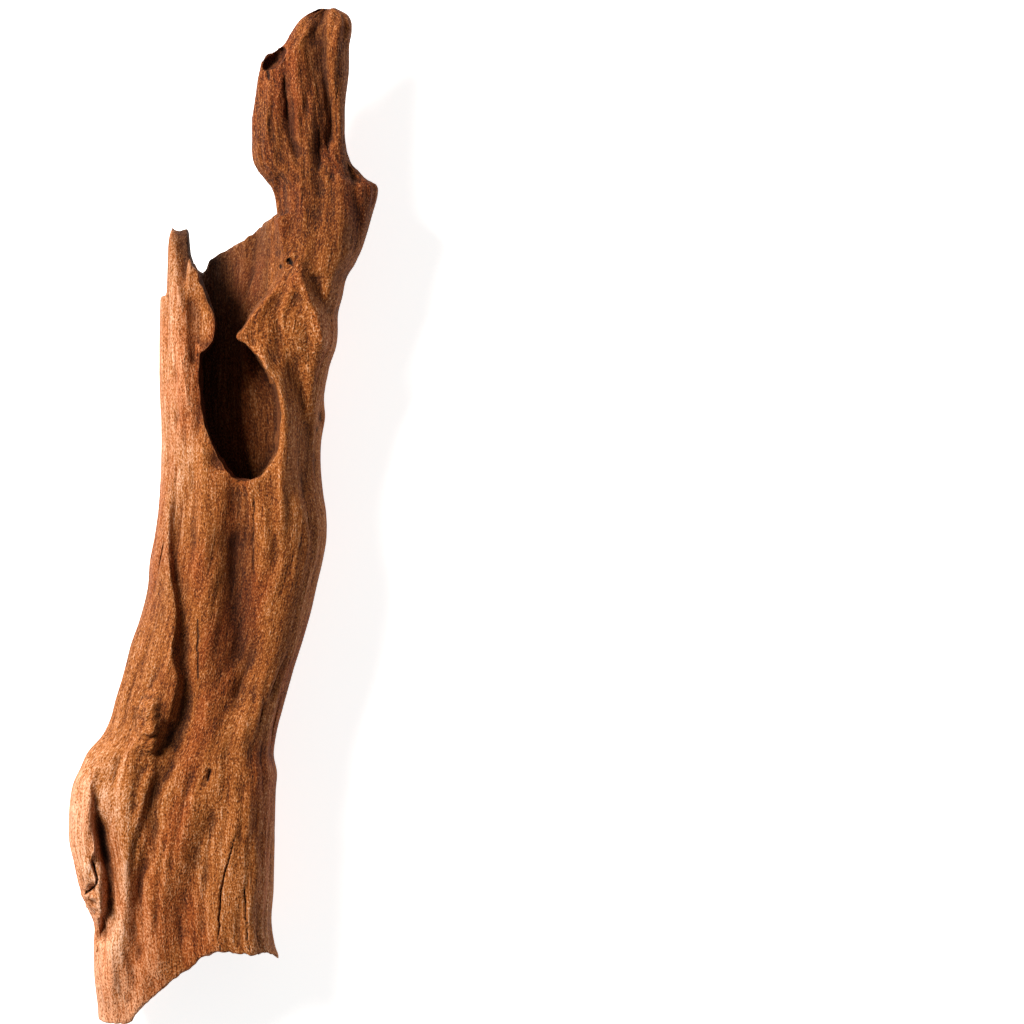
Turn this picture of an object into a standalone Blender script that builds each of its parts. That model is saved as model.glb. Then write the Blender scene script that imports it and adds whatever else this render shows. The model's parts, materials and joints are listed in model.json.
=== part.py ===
"""A piece of driftwood: a weathered length of hollow branch, lying on its back.

It is one piece of wood. +Y runs up the grain to the paddle-shaped tip, +Z is the side that faces up, and the wood
rests on three worn low points at z = 0. Sizes are written in millimetres and become metres where a mesh is made.
"""

import math

import bmesh
import bpy
import numpy as np

MM = 0.001

# The trunk, from the broken lower end to above its rim: where it is along Y, and its edge there
TRUNK_LEFT = (
    (-235, -57), (-222, -57), (-208, -58.5), (-192, -58.7), (-183, -58.6), (-178, -60.5), (-173, -63),
    (-164, -65.8), (-155, -67.6), (-147, -69.4), (-138, -69.8), (-128, -69.2), (-120, -67.6), (-113, -64.3),
    (-106, -61), (-99, -54.8), (-93, -51.6), (-82, -48.5), (-68, -44.5), (-58, -42), (-47, -38),
    (-34, -34.5), (-19, -33), (-9, -31), (2, -29.5), (17, -28.5), (37, -28), (55, -29), (98, -29),
    (120, -28), (145, -26),
)  # fmt: skip
TRUNK_RIGHT = (
    (-235, 33), (-212, 27.5), (-198, 24), (-193, 22), (-184, 20.5), (-168, 21.5), (-150, 22),
    (-122, 23), (-116, 23.5), (-108, 22), (-98, 23), (-86, 26), (-70, 30.5), (-54, 35.5), (-41, 39),
    (-30, 41.5), (-19, 44), (-8, 45.8), (2, 45.5), (10, 44), (38, 43.8), (45, 45.3), (51, 44.8),
    (68, 46.5), (98, 47), (120, 45), (145, 42),
)  # fmt: skip
TRUNK_BOTTOM = (
    (-235, 7), (-200, 5), (-160, 2.5), (-120, 2), (-80, 3), (-40, 3.5), (0, 3), (40, 2), (80, 2.5),
    (120, 5), (145, 7),
)  # fmt: skip
TRUNK_TOP = (
    (-235, 50), (-200, 54), (-160, 57), (-120, 59), (-80, 58), (-40, 60), (0, 62), (40, 63), (80, 62),
    (120, 59), (145, 57),
)  # fmt: skip
TRUNK_SQUARENESS = 2.35
TRUNK_RINGS, TRUNK_SIDES = 128, 96

# The limb: the trunk's right wall, which runs on as the neck, the hook and the paddle
LIMB_LEFT = (
    (22, 31), (40, 29), (62, 27), (76, 22), (88, 18), (99, 21), (109, 23.5), (117, 24.7), (127, 24.7),
    (137, 24.2), (145, 23), (149, 21.4), (152, 18.9), (155.5, 16), (159.5, 13.2), (163, 12.4),
    (168, 12.3), (177, 12.6), (186, 14), (195, 15), (201, 16.2), (206.5, 18.3), (211, 25), (216.5, 29.8),
    (222, 34.2), (226.5, 39.8), (228.3, 44),
)  # fmt: skip
LIMB_RIGHT = (
    (22, 41), (40, 43), (62, 46), (71, 48), (76, 50), (84, 51), (92, 51), (99, 53), (109, 55.3),
    (113, 58), (117, 60), (127, 63.8), (137, 66.2), (145, 68.4), (148.5, 68.4), (152, 63.5),
    (155.5, 60), (159.5, 56.8), (163, 55), (168, 54), (178, 53.6), (186, 53.8), (198, 55.2),
    (213, 56), (219, 57), (223.4, 56.5), (226.5, 54), (228.3, 50),
)  # fmt: skip
LIMB_BOTTOM = (
    (22, 18), (40, 15), (68, 11), (83, 10), (100, 11), (117, 14), (136, 18), (150, 21), (170, 23),
    (186, 25), (200, 27), (213, 30), (222, 33), (228.3, 38),
)  # fmt: skip
LIMB_TOP = (
    (22, 46), (40, 51), (68, 59), (83, 62), (100, 62), (117, 60.5), (136, 58), (150, 56), (170, 54.5),
    (186, 54), (200, 53), (213, 52), (222, 49.5), (228.3, 44),
)  # fmt: skip
LIMB_SQUARENESS = 2.5
LIMB_RINGS, LIMB_SIDES = 84, 72

# The hollow that rot left inside the trunk: along Y, centre in X and Z, half sizes in X and Z, and how far its right
# wall leans outwards as it rises
HOLLOW = (
    (-62, 6, 27, 2.5, 3, 0.1), (-54, 6.5, 27.5, 8, 8, 0.15), (-38, 7.5, 28.5, 13, 12, 0.25),
    (-16, 6.5, 30, 16, 14, 0.4), (10, 3.5, 31.5, 16, 15.5, 0.7), (40, 0.8, 33, 14, 17, 1.0),
    (80, 0.5, 33, 13.5, 17, 1.0), (112, 0.8, 33, 13.5, 17.5, 0.95), (134, 1.5, 33.5, 13.5, 18, 0.9),
    (146, 2, 34, 13.5, 18, 0.85),
)  # fmt: skip
HOLLOW_RINGS, HOLLOW_SIDES = 60, 48

# The rotted pocket in the lower end, in the same terms
END_POCKET = (
    (-240, -18, 28, 30, 17.5, 0), (-200, -19, 27.5, 26, 15.5, 0), (-176, -20, 27, 22, 13.5, 0),
    (-152, -20.5, 26.5, 16, 10.5, 0), (-136, -20, 26, 9.5, 7, 0), (-128, -20, 26, 3, 3, 0),
)  # fmt: skip
POCKET_RINGS = 36

# The opening in the upper wall, as its edge runs on the outside and, in the same order, deep inside
WINDOW_OUTSIDE = (
    (20, 152), (24, 150), (26, 140), (27, 132), (28.8, 125), (30.4, 115.5), (28.8, 107.5), (23.5, 101), (16.5, 93.5),
    (11, 85.5), (7, 80.3), (11.5, 76.8), (17, 71), (22, 62.8), (25.4, 56), (26.8, 47.5), (26.4, 37.5),
    (25.2, 29.2), (22, 22.8), (17, 17.6), (10.5, 16.2), (4.5, 18), (-0.8, 24.3), (-4.2, 31),
    (-7.2, 37.5), (-9, 45), (-10.2, 55.5), (-11.2, 68), (-10.6, 73.5), (-8, 74.3), (-5.2, 78.5),
    (-3.6, 86), (-4.4, 92), (-7, 97.5), (-9.6, 104), (-11.6, 110), (-13.5, 114), (-15.5, 122),
    (-16, 132), (-16, 142), (-15.5, 149), (-10, 152),
)  # fmt: skip
WINDOW_INSIDE = (
    (12, 152), (15, 150), (15, 140), (14.6, 132), (14, 125), (13, 115.5), (12, 107.5), (10, 101), (8, 93.5),
    (6, 86.5), (5, 82), (10, 77.5), (15, 71.5), (19.5, 63.8), (22.5, 56), (23.5, 47.5), (23, 37.5),
    (22, 29.5), (19.5, 24), (15.5, 19.6), (10.5, 18.5), (5.5, 20), (0.8, 25.6), (-3, 31.6),
    (-6, 38), (-8, 45), (-9.4, 55.5), (-10, 68), (-9.6, 73.5), (-7.5, 75), (-5, 78.5),
    (-3.8, 86), (-4.8, 92), (-7, 97.5), (-9.6, 104), (-11.6, 110), (-13, 114), (-14.5, 122),
    (-15, 132), (-15, 142), (-14.5, 149), (-8, 152),
)  # fmt: skip
WINDOW_LEVELS = (28, 36, 46, 54, 62, 74)
WINDOW_STEPS = 4

# The broken rim at the trunk's upper end: across X, how far up Y the wood still reaches
RIM = (
    (-34, 92), (-29.5, 97.5), (-28, 99.8), (-25.6, 100), (-25, 104), (-24.8, 126), (-24, 130.4),
    (-20.5, 128.6), (-16.2, 129.4), (-15.8, 119), (-13.8, 113), (-11, 110.6), (-8.4, 113.4),
    (-7.4, 116.6), (0, 121), (8, 125.4), (15.5, 130.8), (22.8, 135), (30, 137), (50, 138),
)  # fmt: skip
SPIKE_X, SPIKE_Z = (-25.5, -15.8), (34, 13)
SPIKE_SHOULDER = 104

# The broken lower end: across X, how far down Y the upper face still reaches
LOWER_BREAK = (
    (-70, -226), (-56, -226.5), (-51, -227.4), (-41.5, -227), (-40, -223.6), (-34.5, -218),
    (-29, -213), (-22, -207), (-15, -202), (-9.5, -197.3), (-2, -194.5), (11, -195.2), (16, -196.2),
    (19.8, -195.6), (24, -198.6), (34, -203),
)  # fmt: skip
LOWER_BREAK_SLANT = 11

# The small hole in the tip's left edge
TIP_HOLE_CENTRE, TIP_HOLE_SIZE = (23.6, 205.0, 48.5), (7.4, 3.3, 8.0)
TIP_HOLE_TURN = math.radians(42)
TIP_PIT_CENTRE, TIP_PIT_SIZE = (19.3, 200.5, 53.5), (2.2, 4.4, 4.0)

# Folds of the upper face: height, reach to the left and to the right of the crest, and the crest from the top down
UPPER_FOLDS = (
    # trunk: the slab on the left, the valley beside it and the knot under it
    (3.4, 8, 2.4, ((-21.5, 12), (-24.6, -6), (-26, -19), (-25, -37), (-23.4, -49), (-24, -60), (-27.5, -74))),
    (-3.4, 3.4, 4.6, ((-18.5, 19), (-19.8, -1), (-20.6, -19), (-18.6, -37), (-17.2, -51), (-16.8, -69),
                      (-18.2, -85), (-21.6, -98), (-28.5, -109))),
    (4.4, 4.6, 4.8, ((-33.3, -80), (-32, -94), (-32.4, -106))),
    # trunk: the broad light ridge and the valley under the opening
    (2.4, 5, 5.5, ((-8, 8), (-6.8, -19), (-6.3, -46), (-7.2, -73), (-8.6, -100))),
    (-2.8, 5, 6, ((5.4, 14), (3.8, -10), (5.4, -37), (9, -62))),
    # trunk: the ridge that runs down from the opening's right edge, and the valley beyond it
    (2.0, 3.4, 3.8, ((17, 72.5), (25, 62), (28.6, 52), (29.6, 35), (27.8, 12), (26.6, -12))),
    (-2.0, 4, 5.5, ((34.2, 80), (35.6, 53), (35.6, 30), (34.2, 8))),
    (1.4, 7, 5, ((34, 10), (36.5, -6), (37.4, -24), (34.2, -46), (29.7, -69))),
    # trunk, lower end: the furrows that lean to the left as they run down
    (-2.6, 3.4, 3.0, ((-15.3, -100), (-25.2, -116), (-29.7, -127), (-31.5, -150), (-35.6, -161), (-38.7, -177),
                      (-39.2, -199), (-38.5, -220))),
    (2.0, 5, 4.5, ((-40, -109), (-42.3, -127), (-43.2, -150), (-44.5, -172), (-47.7, -195), (-50.4, -220))),
    (-1.8, 2.2, 2.6, ((-36.5, -110), (-38.4, -121), (-38.7, -132))),
    (1.5, 4.5, 5, ((-11, -122), (-19.5, -141), (-26.5, -163), (-29, -190), (-29.5, -212))),
    (-1.6, 3.5, 5, ((-2, -128), (-9.5, -148), (-16, -170), (-18, -195))),
    (1.3, 5, 5, ((12, -120), (5, -150), (0, -175), (-2, -196))),
    (-1.4, 3, 4, ((14, -140), (12, -165), (13, -196))),
    # trunk: the lip that rolled over an old scar, and the trough between it and the face
    (2.6, 5, 3.2, ((-60, -104), (-64.2, -121), (-65.4, -141), (-63.6, -158), (-60.5, -174))),
    (-3.0, 3.0, 5.4, ((-56, -112), (-58.2, -126), (-57.3, -141), (-54.5, -158))),
    (-5.4, 3.0, 4.4, ((-57.3, -138), (-55, -154), (-52.6, -167), (-52, -178), (-55.5, -190))),
    (1.6, 2.4, 2.6, ((-58, -160), (-57.4, -168), (-57.4, -176))),
    # trunk, upper end: the arris of the left wall and the crease beside it
    (2.4, 5, 4.5, ((-20, 130), (-20, 98), (-18.6, 78), (-14.6, 62))),
    (-1.4, 1.8, 2.2, ((-14.6, 100), (-14, 78), (-12.6, 68))),
    (-2.2, 4, 3, ((-6.5, 106), (-3, 92), (-3.4, 82), (-7.5, 74))),
    (-4.6, 4.5, 5, ((-11.5, 104), (-10.5, 84), (-9.5, 66), (-8.6, 46), (-4, 30), (2, 20))),
)  # fmt: skip
LIMB_FOLDS = (
    # the two ridges that part below the neck, and the dished wood between them
    (2.2, 4.5, 3.8, ((33.5, 128), (32.9, 115.7), (28.8, 107), (21.6, 98.8), (14.4, 89.8), (8.6, 82))),
    (1.9, 3.2, 3.2, ((33.8, 115), (36, 103), (41.4, 94), (45.6, 84), (47.5, 73))),
    (-2.6, 5.5, 5, ((31.6, 99), (30.6, 87), (30, 76), (32.4, 62))),
    (-2.2, 2.0, 4, ((36.5, 112), (39.8, 100), (43.6, 89.5))),
    (-1.5, 4, 4, ((44, 143), (41, 125), (42.3, 104), (44, 90))),
    # the paddle's two grooves and the rounded ridges beside them
    (-3.6, 5.4, 2.4, ((44, 227), (43.6, 213), (45, 198), (47.4, 182), (47.8, 172), (44, 158))),
    (-2.6, 2.2, 2.8, ((26.4, 205), (28.6, 192), (29.6, 179), (31, 170), (36, 160))),
    (1.4, 5, 4, ((35, 214), (36.5, 197), (38, 179), (38, 160), (34.5, 143))),
    (1.7, 3.2, 3.4, ((51.5, 223), (51.4, 201), (50.6, 179), (51.4, 161), (53.4, 143), (52.6, 124))),
    (-1.5, 1.8, 2.6, ((42, 170), (42.6, 156), (44, 142))),
    (1.2, 3.5, 3.5, ((20, 192), (19, 175), (21, 160))),
    # the groove that parts the hook from the neck
    (-2.8, 2.2, 3.0, ((55.4, 161), (58.2, 149), (59.2, 134), (56.6, 119))),
    (-2.4, 2.0, 2.2, ((22.6, 149), (25.4, 138))),
)  # fmt: skip
# Folds of the underside, in the same terms, seen through the wood from above
LOWER_FOLDS = (
    (3.0, 6, 6, ((20, 100), (24, 40), (26, -10), (12, -70), (-6, -120), (-10, -190))),
    (-3.4, 5, 4, ((4, 110), (8, 60), (10, 0), (-2, -60), (-20, -110), (-28, -200))),
    (2.4, 5, 7, ((-14, 90), (-12, 30), (-14, -30), (-26, -80), (-40, -130), (-46, -200))),
    (-3.0, 3, 3.5, ((36, 90), (37, 40), (36, -10), (24, -64))),
    (3.6, 5, 5, ((-26, -46), (-31, -58), (-36, -68))),
    (-2.6, 3, 3, ((-32, -100), (-40, -140), (-50, -190))),
    (2.2, 4, 4, ((4, -96), (6, -140), (8, -190))),
)  # fmt: skip
LIMB_LOWER_FOLDS = (
    (-3.0, 4, 4, ((30, 212), (33, 180), (38, 150), (44, 118), (40, 88))),
    (2.4, 4, 4, ((42, 216), (44, 180), (52, 146), (54, 112), (48, 80))),
    (2.0, 4, 4, ((22, 196), (24, 172), (32, 140), (32, 110))),
)  # fmt: skip
# The three low points that it rests on, as folds of the underside
FEET = (
    (4.8, 9, 9, ((-24, -155), (-25, -165))),
    (6.6, 8.5, 8.5, ((-16, 63), (-16, 51))),
    (6.6, 8, 8, ((31, 35), (31, 23))),
)  # fmt: skip
FOOT_LEVEL = 0.0

# Flutes that run with the grain: how many round the section, height, how far and how often they wander
FLUTES = ((7, 0.55, 0.9, 95), (13, 0.50, 1.1, 62), (21, 0.42, 1.3, 48), (30, 0.30, 1.5, 37))

REMESH_SIZE = 1.6
WEAR_PASSES = 4
FACE_BUDGET = 9400
WOOD_COLOUR = (0.43, 0.21, 0.095, 1)


def curve_through(points, at):
    """A smooth curve through (position, value) points, in any order, read at the positions in at."""
    points = np.array(points, float)
    x, v = points[points[:, 0].argsort()].T
    slope = np.gradient(v, x)
    i = np.clip(np.searchsorted(x, at) - 1, 0, len(x) - 2)
    run = x[i + 1] - x[i]
    t = np.clip((at - x[i]) / run, 0, 1)
    return (
        (2 * t**3 - 3 * t**2 + 1) * v[i]
        + (t**3 - 2 * t**2 + t) * run * slope[i]
        + (3 * t**2 - 2 * t**3) * v[i + 1]
        + (t**3 - t**2) * run * slope[i + 1]
    )


def smooth_step(low, high, value):
    t = np.clip((value - low) / (high - low), 0, 1)
    return t * t * (3 - 2 * t)


def fine_path(crest, pieces=20):
    """The crest of a fold, made smooth through its points."""
    crest = np.array(crest, float)
    along = np.arange(len(crest))
    at = np.linspace(0, len(crest) - 1, pieces + 1)
    return np.stack([curve_through(np.stack([along, crest[:, k]], 1), at) for k in (0, 1)], 1)


def folds(x, y, shapes):
    """The height of these folds over each point: a bell across the crest, unlike on its two sides, that fades at its ends."""
    total = np.zeros(x.shape)
    for height, left, right, crest in shapes:
        path = fine_path(crest)
        start, step = path[:-1], np.diff(path, axis=0)
        dx, dy = x[..., None] - start[:, 0], y[..., None] - start[:, 1]
        t = np.clip((dx * step[:, 0] + dy * step[:, 1]) / (step**2).sum(1), 0, 1)
        away = np.hypot(dx - t * step[:, 0], dy - t * step[:, 1])
        nearest = away.argmin(-1)[..., None]
        pick = lambda values: np.take_along_axis(values, nearest, -1)[..., 0]
        side = pick(step[:, 0] * dy - step[:, 1] * dx)
        share = (nearest[..., 0] + pick(t)) / len(step)
        fade = smooth_step(-0.06, 0.14, share) * smooth_step(-0.06, 0.14, 1 - share)
        total += height * fade * np.exp(-((pick(away) / np.where(side < 0, left, right)) ** 2))
    return total


def flutes(angle, y):
    """Low ridges along the grain, which wander as they run and come and go."""
    total = np.zeros(np.broadcast(angle, y).shape)
    for n, (count, height, wander, run) in enumerate(FLUTES):
        phase = count * angle + 2.1 * n + wander * np.sin(2 * np.pi * y / run + 1.7 * n)
        total += height * (0.65 + 0.35 * np.sin(2 * np.pi * y / (1.7 * run) + n)) * np.sin(phase)
    return total


def add_object(name, points, faces, collection, is_cutter=False):
    """A mesh object from points in millimetres, with its faces turned outwards."""
    mesh = bpy.data.meshes.new(name)
    mesh.from_pydata((points * MM).tolist(), [], faces)
    shape = bmesh.new()
    shape.from_mesh(mesh)
    bmesh.ops.recalc_face_normals(shape, faces=shape.faces)
    if shape.calc_volume(signed=True) < 0:
        bmesh.ops.reverse_faces(shape, faces=shape.faces)
    shape.to_mesh(mesh)
    shape.free()
    obj = bpy.data.objects.new(name, mesh)
    collection.objects.link(obj)
    if is_cutter:
        obj.hide_render = True
        obj.display_type = "WIRE"
    return obj


def loft(name, rings, collection, is_cutter=True):
    """A closed solid through rings, an array of (ring, point, xyz), with a flat face over each end."""
    count, sides = rings.shape[:2]
    ring, side = np.meshgrid(np.arange(count - 1), np.arange(sides), indexing="ij")
    after = (side + 1) % sides
    corners = (ring * sides + side, ring * sides + after, (ring + 1) * sides + after, (ring + 1) * sides + side)
    walls = np.stack(corners, -1).reshape(-1, 4).tolist()
    ends = [list(range(sides)), list(range((count - 1) * sides, count * sides))]
    return add_object(name, rings.reshape(-1, 3), walls + ends, collection, is_cutter)


def section(angle, centre, half, squareness):
    """A rounded, slightly square section: its two coordinates at each angle."""
    c, s = np.cos(angle), np.sin(angle)
    power = 2 / squareness
    across = centre[0] + half[0] * np.sign(c) * np.abs(c) ** power
    up = centre[1] + half[1] * np.sign(s) * np.abs(s) ** power
    return across, up


def wood_skin(left, right, bottom, top, squareness, ring_count, sides, upper, lower):
    """The rings of a length of wood between four edge curves, raised by its folds and flutes."""
    y = np.linspace(left[0][0], left[-1][0], ring_count)[:, None]
    angle = np.linspace(0, 2 * np.pi, sides, endpoint=False)[None, :]
    edges = [curve_through(edge, y) for edge in (left, right, bottom, top)]
    centre = ((edges[0] + edges[1]) / 2, (edges[2] + edges[3]) / 2)
    half = ((edges[1] - edges[0]) / 2, (edges[3] - edges[2]) / 2)
    x, z = section(angle, centre, half, squareness)
    y = np.broadcast_to(y, x.shape)
    facing_up = smooth_step(0.02, 0.5, np.sin(angle))
    facing_down = smooth_step(0.02, 0.5, -np.sin(angle))
    at_edge = 1 - 0.75 * smooth_step(0.8, 1.0, np.abs(np.cos(angle)))
    height = facing_up * folds(x, y, upper) + facing_down * folds(x, y, lower) + at_edge * flutes(angle, y)
    out = np.stack([np.cos(angle) / half[0], np.sin(angle) / half[1]])
    out /= np.hypot(*out)
    return np.stack([x + height * out[0], y, z + height * out[1]], -1)


def round_passage(stations, ring_count, sides, flute_height):
    """The rings of a rounded passage through the wood, with soft ribs along its wall."""
    stations = np.array(sorted(stations), float)
    y = np.linspace(stations[0, 0], stations[-1, 0], ring_count)[:, None]
    cx, cz, hx, hz, lean = (curve_through(stations[:, (0, k)], y) for k in (1, 2, 3, 4, 5))
    angle = np.linspace(0, 2 * np.pi, sides, endpoint=False)[None, :]
    swell = 1 + flute_height * flutes(angle, y)
    x, z = section(angle, (cx, cz), (hx * swell, hz * swell), 2.2)
    return np.stack([x + lean * (z - cz), np.broadcast_to(y, x.shape), z], -1)


def block_beyond(edge, far, across, up):
    """The rings of a block that reaches from the surface y = edge(x, z) to y = far."""
    x, z = np.meshgrid(across, up, indexing="ij")
    near_side = np.stack([x, edge(x, z), z], -1)
    far_side = np.stack([x, np.full(x.shape, far), z], -1)[:, ::-1]
    return np.concatenate([near_side, far_side], 1)


def rim_surface(x, z):
    """How far up the trunk's wall reaches: the spike keeps its height only near its own level."""
    height = np.interp(x, *np.array(RIM).T)
    in_spike = smooth_step(SPIKE_X[0] - 1, SPIKE_X[0] + 1, x) * smooth_step(-SPIKE_X[1] - 1, -SPIKE_X[1] + 1, -x)
    level, reach = SPIKE_Z
    off_level = 1 - np.exp(-(((z - level) / reach) ** 4))
    return height - in_spike * off_level * (height - SPIKE_SHOULDER) - 0.05 * np.abs(z - level)


def lower_surface(x, z):
    """How far down the trunk's wall reaches: furthest on the upper face, and less below it."""
    face_level = 49 - 20 * np.abs((x + 16) / 42) ** 3
    underneath = smooth_step(0, 28, face_level - z)
    return np.interp(x, *np.array(LOWER_BREAK).T) + LOWER_BREAK_SLANT * underneath + 0.9 * underneath * np.sin(0.55 * x + 0.2 * z)


def window_rings():
    """The rings of the opening, stacked from deep inside to clear of the wood."""
    outside, inside = (np.array(edge, float) for edge in (WINDOW_OUTSIDE, WINDOW_INSIDE))
    count = len(outside) * WINDOW_STEPS
    at = np.arange(count) / WINDOW_STEPS
    around = np.arange(-2, len(outside) + 3)
    rings = []
    for level in WINDOW_LEVELS:
        share = np.clip((level - WINDOW_LEVELS[0]) / (60 - WINDOW_LEVELS[0]), 0, 1)
        edge = inside + share * (outside - inside)
        wrapped = edge[around % len(edge)]
        xy = [curve_through(np.stack([around, wrapped[:, k]], 1), at) for k in (0, 1)]
        rings.append(np.stack([*xy, np.full(count, level)], -1))
    return np.array(rings)


def as_cutter(name, collection):
    """Names the primitive just added, applies its size and turn, and files it with the cutters."""
    cutter = bpy.context.object
    cutter.name = name
    bpy.ops.object.transform_apply(location=True, rotation=True, scale=True)
    for owner in list(cutter.users_collection):
        owner.objects.unlink(cutter)
    collection.objects.link(cutter)
    cutter.hide_render = True
    cutter.display_type = "WIRE"
    return cutter


def add_ellipsoid(name, centre, size, turn, collection):
    """A small rounded hole, turned about Z."""
    bpy.ops.mesh.primitive_uv_sphere_add(
        segments=20,
        ring_count=12,
        radius=MM,
        location=[value * MM for value in centre],
        rotation=(0, 0, turn),
        scale=size,
    )
    return as_cutter(name, collection)


def add_floor_cutter(collection):
    """A block under z = 0, which wears the three feet flat."""
    bpy.ops.mesh.primitive_cube_add(size=MM, location=(0, 0, (FOOT_LEVEL - 20) * MM), scale=(200, 600, 40))
    return as_cutter("floor_wear", collection)


def add_boolean(obj, operation, other):
    """Joins or cuts with an object, or with every object of a collection."""
    step = obj.modifiers.new(f"{operation}_{other.name}".lower(), "BOOLEAN")
    step.operation = operation
    step.solver = "EXACT"
    if isinstance(other, bpy.types.Collection):
        step.operand_type = "COLLECTION"
        step.collection = other
    else:
        step.object = other


def wood_material():
    material = bpy.data.materials.new("weathered_wood")
    material.use_nodes = True
    shader = material.node_tree.nodes["Principled BSDF"]
    shader.inputs["Base Color"].default_value = WOOD_COLOUR
    shader.inputs["Roughness"].default_value = 0.85
    shader.inputs["Metallic"].default_value = 0
    material.diffuse_color = WOOD_COLOUR
    return material


def new_collection(name):
    collection = bpy.data.collections.new(name)
    bpy.context.scene.collection.children.link(collection)
    return collection


def clear_scene():
    for obj in list(bpy.data.objects):
        bpy.data.objects.remove(obj)


def add_hollows(collection):
    """Everything that rot, water and breakage took away, apart from the trunk's upper rim."""
    loft("hollow", round_passage(HOLLOW, HOLLOW_RINGS, HOLLOW_SIDES, 0.045), collection)
    loft("end_pocket", round_passage(END_POCKET, POCKET_RINGS, HOLLOW_SIDES, 0.05), collection)
    loft("window", window_rings(), collection)
    across, up = np.linspace(-75, 45, 90), np.linspace(-12, 72, 30)
    loft("lower_break", block_beyond(lower_surface, -260, across, up), collection)
    add_ellipsoid("tip_hole", TIP_HOLE_CENTRE, TIP_HOLE_SIZE, TIP_HOLE_TURN, collection)
    add_ellipsoid("tip_pit", TIP_PIT_CENTRE, TIP_PIT_SIZE, 0, collection)


def add_driftwood():
    """The whole piece: trunk and limb joined, hollowed, worn and set on its feet."""
    wood, helpers, hollows = (new_collection(name) for name in ("driftwood", "joined_shapes", "hollows"))
    trunk_rings = wood_skin(
        TRUNK_LEFT, TRUNK_RIGHT, TRUNK_BOTTOM, TRUNK_TOP, TRUNK_SQUARENESS, TRUNK_RINGS, TRUNK_SIDES,
        UPPER_FOLDS, LOWER_FOLDS + FEET,
    )  # fmt: skip
    limb_rings = wood_skin(
        LIMB_LEFT, LIMB_RIGHT, LIMB_BOTTOM, LIMB_TOP, LIMB_SQUARENESS, LIMB_RINGS, LIMB_SIDES,
        LIMB_FOLDS, LIMB_LOWER_FOLDS,
    )  # fmt: skip
    driftwood = loft("driftwood", trunk_rings, wood, is_cutter=False)
    limb = loft("limb", limb_rings, helpers)
    across, up = np.linspace(-45, 60, 120), np.linspace(-12, 76, 40)
    rim = loft("rim_break", block_beyond(rim_surface, 170, across, up), helpers)
    add_hollows(hollows)

    add_boolean(driftwood, "DIFFERENCE", rim)
    add_boolean(driftwood, "UNION", limb)
    add_boolean(driftwood, "DIFFERENCE", hollows)
    remesh = driftwood.modifiers.new("even_faces", "REMESH")
    remesh.mode = "VOXEL"
    remesh.voxel_size = REMESH_SIZE * MM
    wear = driftwood.modifiers.new("wear", "SMOOTH")
    wear.factor, wear.iterations = 0.5, WEAR_PASSES
    bpy.context.view_layer.update()
    worn = driftwood.evaluated_get(bpy.context.evaluated_depsgraph_get()).data
    triangles = sum(len(face.vertices) - 2 for face in worn.polygons)
    fewer = driftwood.modifiers.new("fewer_faces", "DECIMATE")
    fewer.ratio = FACE_BUDGET / triangles
    add_boolean(driftwood, "DIFFERENCE", add_floor_cutter(helpers))
    driftwood.data.materials.append(wood_material())
    return driftwood


clear_scene()
add_driftwood()
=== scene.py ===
# %% [markdown]
# # A piece of driftwood
# The real thing is a length of hollow branch that lay in water and sun until only hard, ribbed wood
# was left. It could be sculpted by hand, but every form on it follows the grain, so here it is
# computed: first two lengths of wood, then what rot and breakage took out of them, then the relief
# that weather cut along the grain.

# %% The frame
import json
import math

import bpy
import numpy as np
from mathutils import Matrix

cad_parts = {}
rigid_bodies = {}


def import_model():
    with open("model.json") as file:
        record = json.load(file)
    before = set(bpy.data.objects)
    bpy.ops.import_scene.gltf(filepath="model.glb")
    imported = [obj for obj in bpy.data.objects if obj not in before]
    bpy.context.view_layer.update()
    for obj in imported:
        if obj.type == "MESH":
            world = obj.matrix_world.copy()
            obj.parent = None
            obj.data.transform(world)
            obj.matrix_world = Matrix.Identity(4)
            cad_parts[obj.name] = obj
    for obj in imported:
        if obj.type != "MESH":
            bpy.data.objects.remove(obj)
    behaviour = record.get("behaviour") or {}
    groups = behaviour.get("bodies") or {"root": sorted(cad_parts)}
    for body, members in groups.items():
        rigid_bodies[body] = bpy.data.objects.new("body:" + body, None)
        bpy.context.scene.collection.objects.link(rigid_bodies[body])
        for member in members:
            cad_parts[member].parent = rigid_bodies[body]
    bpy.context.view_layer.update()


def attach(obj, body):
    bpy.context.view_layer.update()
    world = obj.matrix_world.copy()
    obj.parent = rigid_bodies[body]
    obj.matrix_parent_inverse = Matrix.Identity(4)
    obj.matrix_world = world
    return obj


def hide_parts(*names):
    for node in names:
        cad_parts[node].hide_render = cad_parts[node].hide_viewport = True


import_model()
MM = 0.001

# %% [markdown]
# ## Camera, light and floor
# The object lies on a pale floor and the camera looks straight down on it through a long lens, so
# that its outline is the one in the photograph. One large soft light stands off to the upper left
# and shines across the wood at a slant, which is what brings out the ribs.

# %% Camera
CAMERA_HEIGHT = 3.0
PHOTO_CENTRE = (129.6 * MM, 2.25 * MM)
PHOTO_WIDTH = 460.8 * MM
FACE_LEVEL = 40 * MM
SENSOR = 36.0

camera_data = bpy.data.cameras.new("photo_camera")
camera_data.sensor_width = SENSOR
camera_data.lens = SENSOR * (CAMERA_HEIGHT - FACE_LEVEL) / PHOTO_WIDTH
camera_data.clip_end = 20
camera = bpy.data.objects.new("photo_camera", camera_data)
camera.location = (*PHOTO_CENTRE, CAMERA_HEIGHT)
bpy.context.collection.objects.link(camera)
bpy.context.scene.camera = camera
print("lens:", round(camera_data.lens, 1), "mm")

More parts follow.
